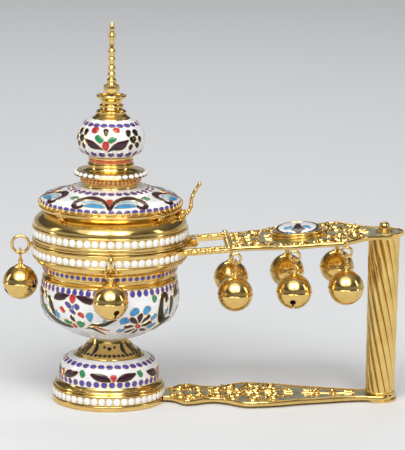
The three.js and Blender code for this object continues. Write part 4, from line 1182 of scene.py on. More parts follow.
BOWL_REPEATS = 2
BOWL_GROWTH = 0.42
GAP_DEG = -3
GAP_FLOWER_TURN_DEG = 67
GAP_LEAF_HALF_WIDTH = 2.1
GAP_LEAF_LEVELS = (70.5, 72.5)
GAP_LEAF_DEG = (4, 12, 22)
GAP_LEAF_RISE = 0.6
GAP_BERRY = (1.5, 2.4)
GAP_BERRY_LEVEL = 70.2
BOWL_ROWS = ((58, 76.7, (1.6, 2.1)),)
BAND_ROWS = ((64, 86.0, (1.65, 1.4)),)
BOWL_CELLS = (
    ("maroon", ((54.2, 298.2), (55, 295), (57.5, 292.8), (60.5, 292.3), (64.5, 293.6), (69.3, 295.2),
        (67, 297), (64.5, 299.2), (61, 300), (57.5, 299.7))),
    ("red", ((72.5, 294.6), (74.8, 295.8), (75.3, 299), (74.3, 302), (72.5, 303.3), (70.6, 301.8),
        (69.7, 298.5), (70.4, 295.8))),
    ("maroon", ((76, 296.2), (81, 296.1), (86.5, 296.8), (91, 298.6), (93.2, 300.2), (92.6, 303),
        (91, 304.8), (87.5, 304.3), (83, 302.6), (79, 299.6))),
    ("purple", ((65, 302.4), (67, 301.8), (70, 304), (71.5, 307), (70.5, 308.6), (68.5, 307.8),
        (66, 305.2))),
    ("purple", ((74.6, 305), (76, 304), (78.5, 305.5), (79.3, 307.5), (78.3, 309.5), (76.5, 310),
        (74.9, 308))),
    ("purple", ((69.5, 310.5), (71, 309), (73.5, 310.2), (75.3, 312.5), (75.3, 314), (73.5, 314),
        (71, 312.2))),
    ("sky", ((71.9, 306.4), (73, 305.2), (74.4, 306.3), (74.4, 308), (73, 308.6), (71.9, 307.6))),
    ("red", ((60, 307.3), (61.5, 306.3), (64, 308.5), (65.3, 311), (64.3, 312.7), (62.5, 311.7),
        (60.3, 309.3))),
    ("red", ((77.8, 313.6), (80, 312.3), (83, 314), (84.2, 316.5), (83, 318), (80.5, 316.8),
        (78.3, 315.4))),
    ("sky", ((55, 311.5), (56.5, 310), (59, 313), (60, 316), (59, 318.5), (57, 317), (55.5, 314))),
    ("sky", ((86, 315.4), (87.6, 313.2), (90.6, 312.8), (92.5, 314.3), (92.8, 317.5), (91.6, 320.2),
        (90.5, 322), (88.5, 320.5), (86.6, 318))),
    ("black", ((70.2, 316), (71.6, 315.2), (74, 318), (75.2, 320.3), (74.2, 321.5), (72.2, 320),
        (70.7, 318))),
    ("green", ((64.3, 319.6), (67, 319.4), (70.5, 321), (72.5, 323.3), (70.5, 324.3), (67, 323),
        (65, 321.3))),
    ("green", ((76.5, 322), (79.5, 321.2), (83, 321.7), (85, 324), (83.5, 326.6), (80.5, 327.3),
        (78, 325))),
    ("red", ((72.9, 323.7), (74.6, 323.2), (77, 325.6), (77.7, 327.2), (75.8, 327.6), (73.7, 326))),
    ("green", ((152.2, 297.2), (154.2, 295.3), (156.3, 296.7), (156.6, 299.5), (155, 302.5), (153, 301.3))),
    ("sky", ((166.8, 307), (168, 308), (167.4, 311.5), (165.8, 314.6), (164.6, 314.4), (165.3, 310.5))),
    ("green", ((45.8, 303.8), (47.1, 305.2), (49, 309.5), (49.7, 312.6), (48.3, 311), (46.6, 307.5))),
    ("sky", ((103, 321.2), (104.5, 320), (106.2, 320.5), (106, 322.2), (104.2, 322.8), (103, 322.2))),
)
BOWL_FLOWER = (
    ("red", ((135.3, 325.4), (137.5, 324.3), (139.8, 325), (140.3, 327), (138, 328.3), (135.7, 327.7))),
    ("maroon", ((129.8, 318.8), (132, 317.3), (135, 318.5), (137, 321.3), (137.7, 323.8), (134.5, 323.5),
        (131, 322.2))),
    ("maroon", ((137.5, 317), (139.5, 314.5), (142, 313.4), (142.9, 315.4), (141.8, 319), (140.2, 322),
        (139, 323), (138, 320))),
    ("maroon", ((148.8, 314.6), (150.4, 315.7), (149, 318.5), (145, 321), (141.4, 323.4), (143.5, 319.5),
        (146, 316.6))),
    ("maroon", ((141.3, 325.3), (145, 323), (149, 321.1), (151.5, 321.3), (150.3, 323.5), (146.5, 325.3),
        (143, 326.3))),
    ("maroon", ((134.2, 326), (130, 325.1), (125.5, 325.9), (123.8, 327.6), (125.5, 328.6), (130, 327.6))),
    ("maroon", ((134.5, 328.5), (131.5, 329.2), (126, 330.7), (124.2, 332.2), (126.5, 332.5), (131, 331))),
    ("maroon", ((136.5, 329.3), (134.5, 330.2), (132, 332.5), (132.5, 333.4), (135, 332), (137, 330.5))),
    ("maroon", ((139.3, 329), (142.5, 328.3), (146, 329), (143.5, 330.6), (140.3, 330.5))),
    ("sky", ((119.6, 321.4), (122, 318.8), (126, 317.5), (128.8, 319.2), (129.6, 321.8), (126.5, 323.4),
        (121.5, 324.6))),
    ("sky", ((130, 313.3), (132, 310), (135.5, 308), (138.5, 309), (139.3, 311.5), (137.3, 314.5),
        (133.5, 315.8), (130.8, 315.5))),
    ("sky", ((143.3, 311), (145, 307.5), (148, 306), (150.5, 307.3), (150.8, 310), (148.5, 312.7),
        (146, 314.8), (143.9, 313.8))),
    ("sky", ((151, 317.5), (152.8, 314.8), (155.2, 313.4), (157, 314.9), (155, 318), (152.5, 320),
        (151, 319.6))),
    ("sky", ((146.8, 326.9), (149.5, 324.5), (153, 323.1), (155.3, 323.6), (152.5, 326.2), (148.5, 328.2))),
    ("sky", ((116.3, 331.3), (118.5, 329.2), (122, 328.5), (125.1, 329.2), (123, 331.2), (119, 332.5))),
)
BOWL_STROKES = (
    ("black", 0.8, ((44.6, 290.6), (46.6, 292.5), (46.7, 295.5), (46, 299))),
    ("black", 1.35, ((85.2, 328.4), (90, 327.8), (95, 329.4), (100, 331.8), (106.5, 334.8))),
    ("black", 1.5, ((88, 325.6), (93, 324.7), (99, 325.6), (105, 324.5), (111, 322), (118, 319.6))),
    ("red", 0.9, ((92, 326.6), (98, 327.7), (104, 329.9), (110.5, 330.4))),
)
BOWL_RIBBONS = (
    (((163.4, 322.6), (160.4, 323), (158.6, 320.5), (158.1, 317), (158.4, 311.5), (159.4, 306.5),
      (160.3, 301.5), (161.1, 295.9), (162.5, 293.4), (164.7, 292.4), (166.9, 293.4), (167.8, 295.9),
      (168, 299), (167.4, 301.8)),
     ((165.3, 318.5), (163.9, 316), (163.4, 314), (162.8, 309), (163, 303), (163.4, 299.5), (164.2, 297),
      (165, 296.3), (165.6, 297.5), (165.4, 299), (165.5, 301.6))),
    (((163, 322.5), (166.3, 319.7), (169.4, 317.1)),
     ((163.5, 318), (166, 317.6), (168.9, 316.4))),
    (((170.4, 296), (170, 302.8), (169.4, 309), (168.9, 313.4)),
     ((171.6, 296), (172.8, 298.4), (172.6, 302.8), (171.6, 307.8), (169.9, 313))),
    (((174.4, 285.5), (173.8, 290.3), (173.1, 294.6), (173.4, 296.6)),
     ((176.6, 285.6), (176.4, 289.6), (175.6, 293.4), (174.1, 296.8))),
    (((152, 330), (156, 327.8), (160, 324.9), (163.4, 322.4)),
     ((152.3, 328.6), (156, 326), (159.5, 323.5), (162, 321.5))),
    (((44.4, 289.6), (42.4, 291.9), (41.9, 296.9), (42.6, 302.6), (44.9, 308.3), (47.8, 313.3), (52, 317.8),
      (56.1, 321.3), (60.4, 323.9), (64.7, 325.7), (69.7, 327.1), (73.6, 327.7)),
     ((44.5, 291.6), (43.6, 294), (43.5, 298.3), (44.6, 303.3), (47, 307.6), (50.4, 312.6), (54.7, 316.8),
      (59, 319.9), (63.3, 322.3), (67.6, 324.2), (72.9, 326.1))),
    (((47.7, 296.1), (49, 300.4), (50.4, 306.9), (52.9, 312.6), (55.1, 315.8)),
     ((50.1, 295.8), (51.9, 300.4), (53.3, 306.1), (54.9, 311.1), (55.8, 314.7))),
)


def bowl_enamel(bowl_chart, collar_chart):
    """Flowers, leaves and scrolls, twice round the bowl, with a row of ovals under its rim."""
    art = Ornament("bowl", bowl_chart, STAND)
    for colour, pixels in BOWL_CELLS:
        art.traced(colour, pixels, BOWL_REPEATS)
    for colour, width, pixels in BOWL_STROKES:
        art.traced_stroke(colour, pixels, width, leaf, BOWL_REPEATS)
    for first, second in BOWL_RIBBONS:
        art.traced_ribbon("black", first, second, BOWL_REPEATS, growth=BOWL_GROWTH)
    for colour, pixels in BOWL_FLOWER:
        art.traced(colour, pixels, BOWL_REPEATS)
        art.traced(colour, pixels, BOWL_REPEATS, shift=GAP_FLOWER_TURN_DEG)
    for k in range(BOWL_REPEATS):
        gap_sprig(art, GAP_DEG + 360 * k / BOWL_REPEATS)
    art.rows(BOWL_ROWS)
    art.make()
    band_art = Ornament("collar_band", collar_chart, STAND)
    band_art.rows(BAND_ROWS)
    band_art.make()


def gap_sprig(art, turn):
    """A berry between two leaves, where the picture leaves a gap."""
    low, high = (art.chart.level(level) for level in GAP_LEAF_LEVELS)
    for side in (-1, 1):
        levels = (low + GAP_LEAF_RISE, high, low)
        path = [(turn + side * degrees, level) for degrees, level in zip(GAP_LEAF_DEG, levels)]
        art.stroke("maroon", path, GAP_LEAF_HALF_WIDTH, leaf, 20)
    art.dot("red", (turn, art.chart.level(GAP_BERRY_LEVEL)), GAP_BERRY)


FOOT_REPEATS = 5
FOOT_MIDDLE_DEG = -85.1
FOOT_CELLS = (
    ("red", ((110.3, 377.2), (112, 375.6), (114.5, 375.4), (116.3, 377), (115.8, 380), (113.8, 382.6),
        (112, 380.6))),
    ("green", ((137.4, 371.6), (139.4, 370.1), (141.5, 371.5), (142.7, 374.5), (141.5, 376.9),
        (139.5, 376.5), (137.9, 374.2))),
)
FOOT_LEAF = ((116.6, 381.9), (118.5, 378.5), (121.5, 375.6), (126, 374), (131, 373.5), (135.8, 373.5),
             (134, 376.8), (131, 379.6), (127, 381.3), (122, 382.2))
FOOT_ROWS = ((34, 27.0, (2.15, 1.85), FRONT_DEG, -14), (40, 16.4, (1.95, 1.9), -87))


def foot_enamel(chart):
    art = Ornament("foot", chart, STAND)
    for colour, pixels in FOOT_CELLS:
        art.traced(colour, pixels, FOOT_REPEATS)
    art.traced("maroon", FOOT_LEAF, FOOT_REPEATS, FOOT_MIDDLE_DEG)
    art.rows(FOOT_ROWS)
    art.make()


NECK_WIRE = 0.12
NECK_DOTS = 40
NECK_DOT = (1.3, 1.4)
NECK_DOT_LEVEL = 31.9
NECK_PANELS = 4
NECK_DROP_LEVELS = (34.2, 36.6)
NECK_HALF_WIDTH = 1.5
NECK_SIDE_DOT = (0.9, 1.1)
NECK_SIDE_DOT_DEG = 13
NECK_SIDE_DOT_LEVEL = 36.3
# The tall black strokes on the neck are painted dark reflections: their heights, and their turns from each
# panel's middle.
NECK_REFLECTION_BAR_LEVELS = (31.6, 39.6)
NECK_REFLECTION_BAR_DEG = (36, 33, 38)


def neck_enamel(chart):
    """A row of dots, and in each panel a drop with two dots between two tall black strokes that are painted
    dark reflections.
    """
    art = Ornament("neck", chart, STAND)
    art.row("black", NECK_DOTS, chart.level(NECK_DOT_LEVEL), NECK_DOT, wire=NECK_WIRE)
    foot, head = (chart.level(level) for level in NECK_DROP_LEVELS)
    near, far = (chart.level(level) for level in NECK_REFLECTION_BAR_LEVELS)
    for k in range(NECK_PANELS):
        turn = FRONT_DEG + 360 * k / NECK_PANELS
        art.stroke("black", ((turn, foot), (turn, head)), NECK_HALF_WIDTH, drop, 14, NECK_WIRE)
        for side in (-1, 1):
            place = (turn + side * NECK_SIDE_DOT_DEG, chart.level(NECK_SIDE_DOT_LEVEL))
            art.dot("black", place, NECK_SIDE_DOT, NECK_WIRE)
            # Painted reflection: each tall black stroke stands for a dark reflection on the polished neck.
            levels = (near, (near + far) / 2, far)
            path = [(turn + side * degrees, level) for degrees, level in zip(NECK_REFLECTION_BAR_DEG, levels)]
            art.stroke("black", path, NECK_HALF_WIDTH, leaf, 20, NECK_WIRE)
    art.make()


DISC_REPEATS = 4
DISC_MIDDLE_DEG = -91.2
DISC_HEART = ((107, 200.3), (109.5, 199.9), (112.6, 200.3), (111.5, 203.5), (109.8, 207.2), (108.3, 204.5))
DISC_PAIRS = (
    ("sky", ((114.5, 208.4), (117, 206.3), (122, 205.3), (128, 205), (134, 205.3), (138, 205.9),
        (135, 207.3), (127, 208.3), (120, 208.7))),
    ("pale", ((116, 205.2), (119, 203), (124, 201.8), (130, 201.3), (135.5, 202.2), (139.5, 204.2),
        (134, 204.6), (128, 204.3), (121, 204.5))),
)
DISC_LEAF = ((141.5, 198.3), (144.5, 196.9), (148, 198), (149.8, 199.8), (146.5, 200.4), (143, 199.8))
DISC_ARC_OUTER = ((109, 211.8), (110, 207.5), (112.5, 203.5), (116.5, 200.3), (122, 198.2), (129, 197.3),
                  (136, 198.3), (142.5, 200.7), (147, 204), (147.8, 206.5), (146, 208.6), (142, 209.2),
                  (138, 208), (136.9, 206.8))
DISC_ARC_INNER = ((110.4, 211.6), (112.3, 208), (115, 204), (118.5, 201.8), (123, 200.5), (129.5, 199.7),
                  (135.5, 200.5), (140.5, 202.7), (144, 204.9), (144.3, 206.3), (143.5, 207), (141.5, 207.2),
                  (139.5, 206.6), (138.2, 205.8))
DISC_ARC_GROWTH = 0.6
DISC_OUTER_DOTS = 56
DISC_OUTER_DOT = (2.05, 1.05)
DISC_EDGE_ROW = 1.3
DISC_INNER_DOTS = 32
DISC_INNER_DOT = (2.1, 2.3)
DISC_INNER_RADIUS = 25.2


def disc_enamel(chart):
    art = Ornament("disc", chart, LID)
    art.traced("red", DISC_HEART, DISC_REPEATS)
    for colour, pixels in DISC_PAIRS:
        art.traced(colour, pixels, DISC_REPEATS, DISC_MIDDLE_DEG)
    art.traced("green", DISC_LEAF, DISC_REPEATS // 2, DISC_MIDDLE_DEG)
    art.traced_ribbon("maroon", DISC_ARC_OUTER, DISC_ARC_INNER, DISC_REPEATS, DISC_MIDDLE_DEG,
                      DISC_ARC_GROWTH)
    art.row("purple", DISC_OUTER_DOTS, DISC_EDGE_ROW, DISC_OUTER_DOT)
    art.row("purple", DISC_INNER_DOTS, chart.radius(DISC_INNER_RADIUS), DISC_INNER_DOT)
    art.make()


KNOB_MIDDLE_DEG = -99.6
KNOB_CELLS = (
    ("red", ((102.2, 145.5), (103.5, 142.5), (105.5, 141.8), (108, 142.8), (109, 145.5), (108, 149),
        (106.3, 151), (104.5, 150), (102.8, 148))),
    ("maroon", ((103.3, 132), (104, 129.8), (106, 129), (108.3, 130), (108.8, 132.3), (107.8, 135),
        (106, 137), (104.3, 135))),
    ("maroon", ((84.8, 138.5), (88, 139.6), (92.5, 141.3), (97, 144.5), (100.5, 147.5), (103.2, 149.9),
        (99, 149.4), (94, 148.8), (89.5, 146.8), (86.5, 143))),
    ("maroon", ((128.6, 140.2), (124, 141.2), (118.5, 142.3), (114, 144.8), (110.5, 148.5), (107.7, 152.2),
        (112, 150.4), (117.5, 150.5), (122.5, 149.8), (125.5, 147), (127.3, 143.5))),
    ("green", ((95.3, 137.2), (97, 135.5), (99.5, 135.7), (102, 137.5), (103.3, 140), (102.3, 142),
        (99.8, 143.3), (97, 141), (95.5, 139.2))),
    ("green", ((108.3, 140.7), (110, 138), (113, 136.9), (116, 138), (116, 140.3), (113.5, 142),
        (111, 143.4), (109, 142.3))),
    ("red", ((92, 131.5), (93, 128.5), (95.8, 127.1), (98.4, 127.7), (98.7, 130), (97, 132.5), (94, 133))),
    ("red", ((112.8, 130.2), (114.5, 128.3), (117, 128.1), (119.2, 129.6), (119.2, 132.2), (117.3, 133.6),
        (114.5, 132.5))),
)
KNOB_FLOWER = (
    ((126.2, 132.3), (127.5, 130.6), (129.8, 131.2), (130.2, 134), (129, 136.2), (127.3, 135.4)),
    ((132.7, 131), (134.5, 129.9), (136.8, 131.5), (137.4, 134), (136, 135.4), (134, 134)),
    ((130.6, 138), (133, 136.6), (135.3, 137.7), (135.6, 140.5), (134.2, 142.8), (132, 142), (130.6, 140.2)),
    ((129.1, 146.7), (130.5, 144.9), (131.9, 145.3), (131.9, 147.5), (130.7, 149.3), (129.3, 149)),
    ((135.1, 143.8), (137.3, 142.7), (138.8, 144.5), (138.2, 146.6), (136.5, 146.9)),
    ((138.1, 136.5), (140.2, 137.2), (140.8, 139.8), (139.5, 141.3), (138.4, 139)),
)
KNOB_REPEATS = 2
KNOB_FLOWER_GROWTH = 0.45
KNOB_ROWS = ((21, 177.7, (2.2, 1.55), -89, -6), (21, 159.9, (2.1, 2.0), -90.5))


def knob_enamel(chart):
    """The front picture and its two side flowers, once more on the far side."""
    art = Ornament("knob", chart, LID)
    for colour, pixels in KNOB_CELLS:
        art.traced(colour, pixels, KNOB_REPEATS)
    for pixels in KNOB_FLOWER:
        art.traced("black", pixels, KNOB_REPEATS, KNOB_MIDDLE_DEG, growth=KNOB_FLOWER_GROWTH)
    art.rows(KNOB_ROWS)
    art.make()


# Handle plates

LEAF_START_X = 72
LEAF_LINE_START_X = 76
UPPER_TIP_X = 185.5
BEND_X = 146
RING_X = 49
UPPER_Z = 98
UPPER_SLOPE_DEG = 5
UPPER_END_SLOPE_DEG = 1.4
UPPER_SLOPE = math.tan(math.radians(UPPER_SLOPE_DEG))
UPPER_END_SLOPE = math.tan(math.radians(UPPER_END_SLOPE_DEG))
UPPER_THICKNESS = 2.8
UPPER_HALF_WIDTH = 34
UPPER_LEAF_SHARES = [(0, 0.7), (0.055, 0.71), (0.11, 0.73), (0.17, 0.78), (0.256, 0.88), (0.347, 0.95),
                     (0.484, 0.95), (0.543, 0.97), (0.6, 1), (0.64, 0.97), (0.685, 0.83), (0.745, 0.62),
                     (0.804, 0.5), (0.863, 0.42), (0.922, 0.37), (0.968, 0.24), (1, 0)]
LOWER_HALF_WIDTH = 26
LOWER_LEAF_SHARES = [(0, 0.42), (0.045, 0.5), (0.09, 0.8), (0.14, 0.74), (0.2, 0.58), (0.26, 0.66),
                     (0.34, 0.98), (0.42, 0.96), (0.5, 0.86), (0.58, 0.7), (0.68, 0.56), (0.79, 0.4),
                     (0.86, 0.36), (0.92, 0.42), (0.965, 0.34), (1, 0)]
PLATE_RECESS = 0.8
PLATE_RIM = 2.3
PLATE_RIM_SHARE = 0.62
PLATE_FOOT_EDGE = 0.4
RIM_ROUND = ((0, 0.9), (0.1, 0.35), (0.32, 0), (0.6, 0.05), (0.88, 0.5), (1, PLATE_RECESS))
GROUND_INSET_SHARE = 0.98
GROUND_DEPTH = 0.5
GROUND_EDGE = 0.04
GROUND_CROWN = 0.07
GROUND_LEAST_WIDTH = 0.5


def upper_bottom(x):
    """The height of the upper plate's underside, which slopes up and bends towards its tip."""
    if x < BEND_X:
        return UPPER_Z + (x - RING_X) * UPPER_SLOPE
    return UPPER_Z + (BEND_X - RING_X) * UPPER_SLOPE + (x - BEND_X) * UPPER_END_SLOPE


def rim_width(width):
    """How wide the plate's raised rim is, which narrows where the plate does."""
    return min(PLATE_RIM, width * PLATE_RIM_SHARE)


def leaf_plate(name, start, end, half_width, shares, bottom, thickness, node):
    """A leaf-shaped plate with a raised rim and a sunk ground. Returns the ground's chart and the edge."""
    line = spline([(start + share * (end - start), width * half_width) for share, width in shares], 8)
    loops = []
    for x, width in line[:-1]:
        rim = rim_width(width)
        base = bottom(x)
        top = base + thickness
        half = [(width - PLATE_FOOT_EDGE, base), (width, base + PLATE_FOOT_EDGE)]
        half += [(width - rim * share, top - drop_by) for share, drop_by in RIM_ROUND]
        half.append(((width - rim) / 2, top - PLATE_RECESS))
        loops.append([Vector((x, y, z)) for y, z in half + [(-y, z) for y, z in reversed(half)]])
    pile = Pile()
    pile.skin(loops, None, Vector((end, 0, bottom(end) + thickness / 2)))
    gilt(name, pile, STAND, node)
    return Sheet(lambda x: bottom(x) + thickness - PLATE_RECESS), line


def ground(name, chart, line):
    """The dark polished ground inside the rim."""
    loops = []
    for x, width in line:
        reach = width - rim_width(width) * GROUND_INSET_SHARE
        if reach < GROUND_LEAST_WIDTH:
            continue
        level = chart.top(x)
        section = ((-reach, -GROUND_DEPTH), (reach, -GROUND_DEPTH), (reach, GROUND_EDGE), (0, GROUND_CROWN),
                   (-reach, GROUND_EDGE))
        loops.append([Vector((x, y, level + rise)) for y, rise in section])
    pile = Pile()
    pile.skin(loops)
    piece(name, pile, GROUND, STAND)


RELIEF_CROWN = 1.3
RELIEF_WIDTH_SHARE = 0.24
VOLUTE_STEPS = 14
VOLUTE_TURNS = 1.25
VOLUTE_WIND_SHARE = 0.74
VOLUTE_LEAVES = 3
VOLUTE_LEAF_START = 0.5
VOLUTE_LEAF_STEP = 1.1
VOLUTE_LEAF_ROOT_SHARE = 0.85
VOLUTE_LEAF_LENGTH_SHARE = 0.8
VOLUTE_LEAF_LEAN_DEG = 50
LEAFLET_BEND_SHARE = 0.16


def relief_half(art, side, volutes, leaves):
    """The scrolls and leaves of one half. Rows give place, size, turn and hand, or place, turn and length."""
    for x, y, size, turn, hand in volutes:
        volute(art, x, side * y, size, side * turn, side * hand)
    for x, y, turn, length in leaves:
        leaflet(art, x, side * y, side * turn, length)


def volute(art, x, y, size, turn, hand):
    """A scroll that winds into a round eye, with three leaves on its back."""
    start = math.radians(turn)
    last = VOLUTE_STEPS - 1
    path = []
    for step in range(VOLUTE_STEPS):
        angle = start + hand * math.tau * VOLUTE_TURNS * step / last
        reach = size * (1 - VOLUTE_WIND_SHARE * step / last)
        path.append((x + reach * math.cos(angle), y + reach * math.sin(angle)))
    width = size * RELIEF_WIDTH_SHARE
    art.stroke(RELIEF, path, width, comma, 26, None, RELIEF_CROWN)
    root = size * VOLUTE_LEAF_ROOT_SHARE
    for k in range(VOLUTE_LEAVES):
        angle = start + hand * (VOLUTE_LEAF_START + VOLUTE_LEAF_STEP * k)
        leaflet(art, x + root * math.cos(angle), y + root * math.sin(angle),
                math.degrees(angle) - hand * VOLUTE_LEAF_LEAN_DEG, size * VOLUTE_LEAF_LENGTH_SHARE, width)


def leaflet(art, x, y, turn, length, width=None):
    c, s = math.cos(math.radians(turn)), math.sin(math.radians(turn))
    half = length / 2
    bend = length * LEAFLET_BEND_SHARE
    path = [(x, y), (x + c * half - s * bend, y + s * half + c * bend), (x + c * length, y + s * length)]
    art.stroke(RELIEF, path, width or length * RELIEF_WIDTH_SHARE, leaf, 12, None, RELIEF_CROWN)


FORK_INNER = 16
FORK_OUTER = 26
FORK_LEAF_PLACES = (51, 57.5, 64)
FORK_LEAF_Y = 21
FORK_LEAF = (5.6, 1.7)
UPPER_VOLUTES = ((87, 9, 5.4, 200, 1), (91, 21, 4.6, 20, -1), (80.5, 19, 3.4, 120, 1), (80, 6, 3, 160, -1),
                 (106, 26, 3.6, 0, 1), (118.6, 25.5, 4.2, 180, -1), (131, 26, 3.8, 180, 1),
                 (141, 24.5, 4.8, 30, 1), (143, 9.5, 5.6, 190, -1), (152, 18, 4.4, 40, -1),
                 (153, 6.5, 4.2, 170, 1))
UPPER_LEAVES = ((76, 12, 20, 7), (93, 14, 60, 7), (97, 5, 10, 5), (98, 22, -30, 6), (137.5, 17, 50, 8),
                (148, 25, -40, 7), (148, 3, 30, 7), (156, 13, -60, 6), (157, 3, 10, 6), (135, 8, -70, 6))
START_BOSS = 1.5
START_BOSSES = 11
START_END_SHARE = 1.25
START_WAVE = (0.8, 0.2)
START_SETBACK = 1


def upper_leaf_shares():
    """The leaf's edge as it was drawn, carried on to where the plate starts."""
    whole = UPPER_TIP_X - LEAF_START_X
    drawn = UPPER_TIP_X - LEAF_LINE_START_X
    lead = LEAF_LINE_START_X - LEAF_START_X
    shares = [((share * drawn + lead) / whole, width) for share, width in UPPER_LEAF_SHARES]
    return [(0, UPPER_LEAF_SHARES[0][1])] + shares


def upper_plate():
    chart, line = leaf_plate("upper_leaf", LEAF_START_X, UPPER_TIP_X, UPPER_HALF_WIDTH, upper_leaf_shares(),
                             upper_bottom, UPPER_THICKNESS, "upper_handle_plate")
    ground("upper_leaf_ground", chart, line)
    pile = Pile()
    for side in (-1, 1):
        fork_rail(pile, side)
        rail_beads(pile, side)
        tip_ribs(pile, side, line)
    gilt("upper_fork", pile, STAND)
    relief = Ornament("upper", chart, STAND)
    start_bead(relief.pile(RELIEF))
    for side in (-1, 1):
        relief_half(relief, side, UPPER_VOLUTES, UPPER_LEAVES)
        for x in FORK_LEAF_PLACES:
            leaflet(relief, x, side * FORK_LEAF_Y, 0, *FORK_LEAF)
    relief.make()


def start_bead(pile):
    """A row of round gold bosses across the start of the leaf, larger at both ends."""
    x = LEAF_START_X + START_BOSS
    reach = FORK_OUTER - START_SETBACK
    level, swell = START_WAVE
    for step in range(START_BOSSES):
        share = 2 * step / (START_BOSSES - 1) - 1
        size = START_END_SHARE if abs(share) == 1 else level + swell * math.cos(math.tau * share)
        pile.ball(Vector((x, share * reach, upper_bottom(x) + UPPER_THICKNESS)), START_BOSS * size)


RAIL_STEPS = 8
RAIL_START_RADIUS = 48.3
RAIL_OVERLAP = 1
RAIL_LIP = 2.2
RAIL_LIP_FOOT = 2.6
RAIL_EDGE = 0.4
RAIL_BEADS = ((47, 2.2), (52.2, 2.6), (57.8, 2.2), (62, 1.6), (66.5, 2.6), (72.5, 3))
SIDE_BEAD_SETBACK = 0.3
SIDE_BEAD = (0.9, 1.45)
TOP_BEAD_SETBACK = 3.4
TOP_BEAD_SHARES = (0.85, 0.5)
TOP_BEAD_RISE = 0.8
RIB_START_X = 177.5
RIB_RADIUS = 0.5
RIB_LEAST_WIDTH = 0.8
RIB_FOOT = 0.3
RIB_HEAD = 0.4


def rail_section():
    top = UPPER_THICKNESS
    floor_level = top - PLATE_RECESS
    outline = [(FORK_INNER, 0), (FORK_OUTER, 0), (FORK_OUTER, top), (FORK_OUTER - RAIL_LIP, top),
               (FORK_OUTER - RAIL_LIP_FOOT, floor_level), (FORK_INNER + RAIL_LIP_FOOT, floor_level),
               (FORK_INNER + RAIL_LIP, top), (FORK_INNER, top)]
    return rounded(outline, RAIL_EDGE, 3)


def fork_rail(pile, side):
    """A rail from the rim ring to the leaf plate. Its start follows the round of the ring."""
    section = rail_section()
    loops = []
    for step in range(RAIL_STEPS + 1):
        loop = []
        for y, rise in section:
            start = math.sqrt(RAIL_START_RADIUS ** 2 - y ** 2)
            x = start + step / RAIL_STEPS * (LEAF_START_X + RAIL_OVERLAP - start)
            loop.append(Vector((x, side * y, upper_bottom(x) + rise)))
        loops.append(loop)
    pile.skin(loops)


def rail_beads(pile, side):
    """Leaf-shaped bosses along the outer side and the top of a rail."""
    deep, tall = SIDE_BEAD
    size, wide = TOP_BEAD_SHARES
    for x, long in RAIL_BEADS:
        low = upper_bottom(x)
        centre = (x, side * (FORK_OUTER - SIDE_BEAD_SETBACK), low + UPPER_THICKNESS / 2)
        pile.ball(centre, long, (1, deep / long, tall / long))
        centre = (x, side * (FORK_OUTER - TOP_BEAD_SETBACK), low + UPPER_THICKNESS)
        pile.ball(centre, long * size, (1, wide, TOP_BEAD_RISE / long))


def tip_ribs(pile, side, line):
    """Short upright ribs on the edge of the plate's tip."""
    for x, width in line:
        if x < RIB_START_X or width < RIB_LEAST_WIDTH:
            continue
        low = upper_bottom(x)
        ends = [(x, side * width, low + RIB_FOOT), (x, side * width, low + UPPER_THICKNESS - RIB_HEAD)]
        pile.tube(ends, RIB_RADIUS)


LOWER_VOLUTES = ((45, 9.5, 4.8, 200, 1), (50, 16, 3, 60, -1), (57, 6, 4.2, 180, -1), (69, 7, 4.4, 200, 1),
                 (78, 15.5, 4.4, 150, 1), (82, 6, 4, 10, -1), (91, 18, 4.6, 30, -1), (94, 7, 4.6, 190, 1),
                 (104, 14.5, 4.2, 60, 1), (105.5, 5, 3.6, 170, -1), (132, 5.5, 2.6, 180, 1),
                 (143, 4.5, 2.2, 0, -1))
LOWER_LEAVES = ((40, 4, 30, 6), (52, 9, 50, 6), (62, 10, -30, 6), (63, 3, 20, 6), (73, 12, 70, 5),
                (75, 2, 0, 6), (86, 12, 60, 6), (87, 1.5, 10, 5), (98, 12, 60, 6), (99, 2, 0, 5),
                (110, 10, -30, 7), (111, 3, 0, 7), (124, 6, -10, 6), (150, 3, -5, 6))
LOWER_RIB = ((122, 0), (140, 0), (158, 0))
LOWER_RIB_HALF_WIDTH = 1.0


def lower_plate():
    low, high = box_mm("lower_handle_plate")
    chart, line = leaf_plate("lower_leaf", low.x, high.x, LOWER_HALF_WIDTH, LOWER_LEAF_SHARES,
                             lambda x: low.z, high.z - low.z, "lower_handle_plate")
    ground("lower_leaf_ground", chart, line)
    relief = Ornament("lower", chart, STAND)
    for side in (-1, 1):
        relief_half(relief, side, LOWER_VOLUTES, LOWER_LEAVES)
    relief.stroke(RELIEF, LOWER_RIB, LOWER_RIB_HALF_WIDTH, leaf, 24, None, PLATE_RECESS)
    relief.make()


# Medallion

BEZEL_SHARES = ([(0.985, 0), (1, 0.04), (1, 0.42), (0.975, 0.5)],
                [(0.975, 0.5), (0.935, 0.52)],
                [(0.935, 0.52), (0.95, 0.6), (0.95, 0.88), (0.92, 1)],
                [(0.92, 1), (0.87, 1)])
MEDALLION_LEAN_DEG = 6
MEDALLION_SEAT = 2.3
MEDALLION_SETBACK = 0.7
MEDALLION_STEPS = 112
BEZEL_HEIGHT = 4.2
BEZEL_DEPTH = 0.4
BEZEL_LIP = 1
BEZEL_EDGE = 0.2
PLAQUE_LEVEL = 5.0
PLAQUE_WALL = 0.4
PLAQUE_DEPTH = 2
CUP_DEPTH = 2.6
CUP_FLOOR = 1
CUP_LIP = 0.1
CUP_OVERLAP = 0.05
CUP_EDGE = 0.12
MEDALLION_RISE = 1.5
DOME_RINGS = 16
DOME_STEPS = 96
MOTIF_GROWTH = 0.35
BORDER_STEPS = 64
BORDER_SETBACKS = (1.5, 0.3)
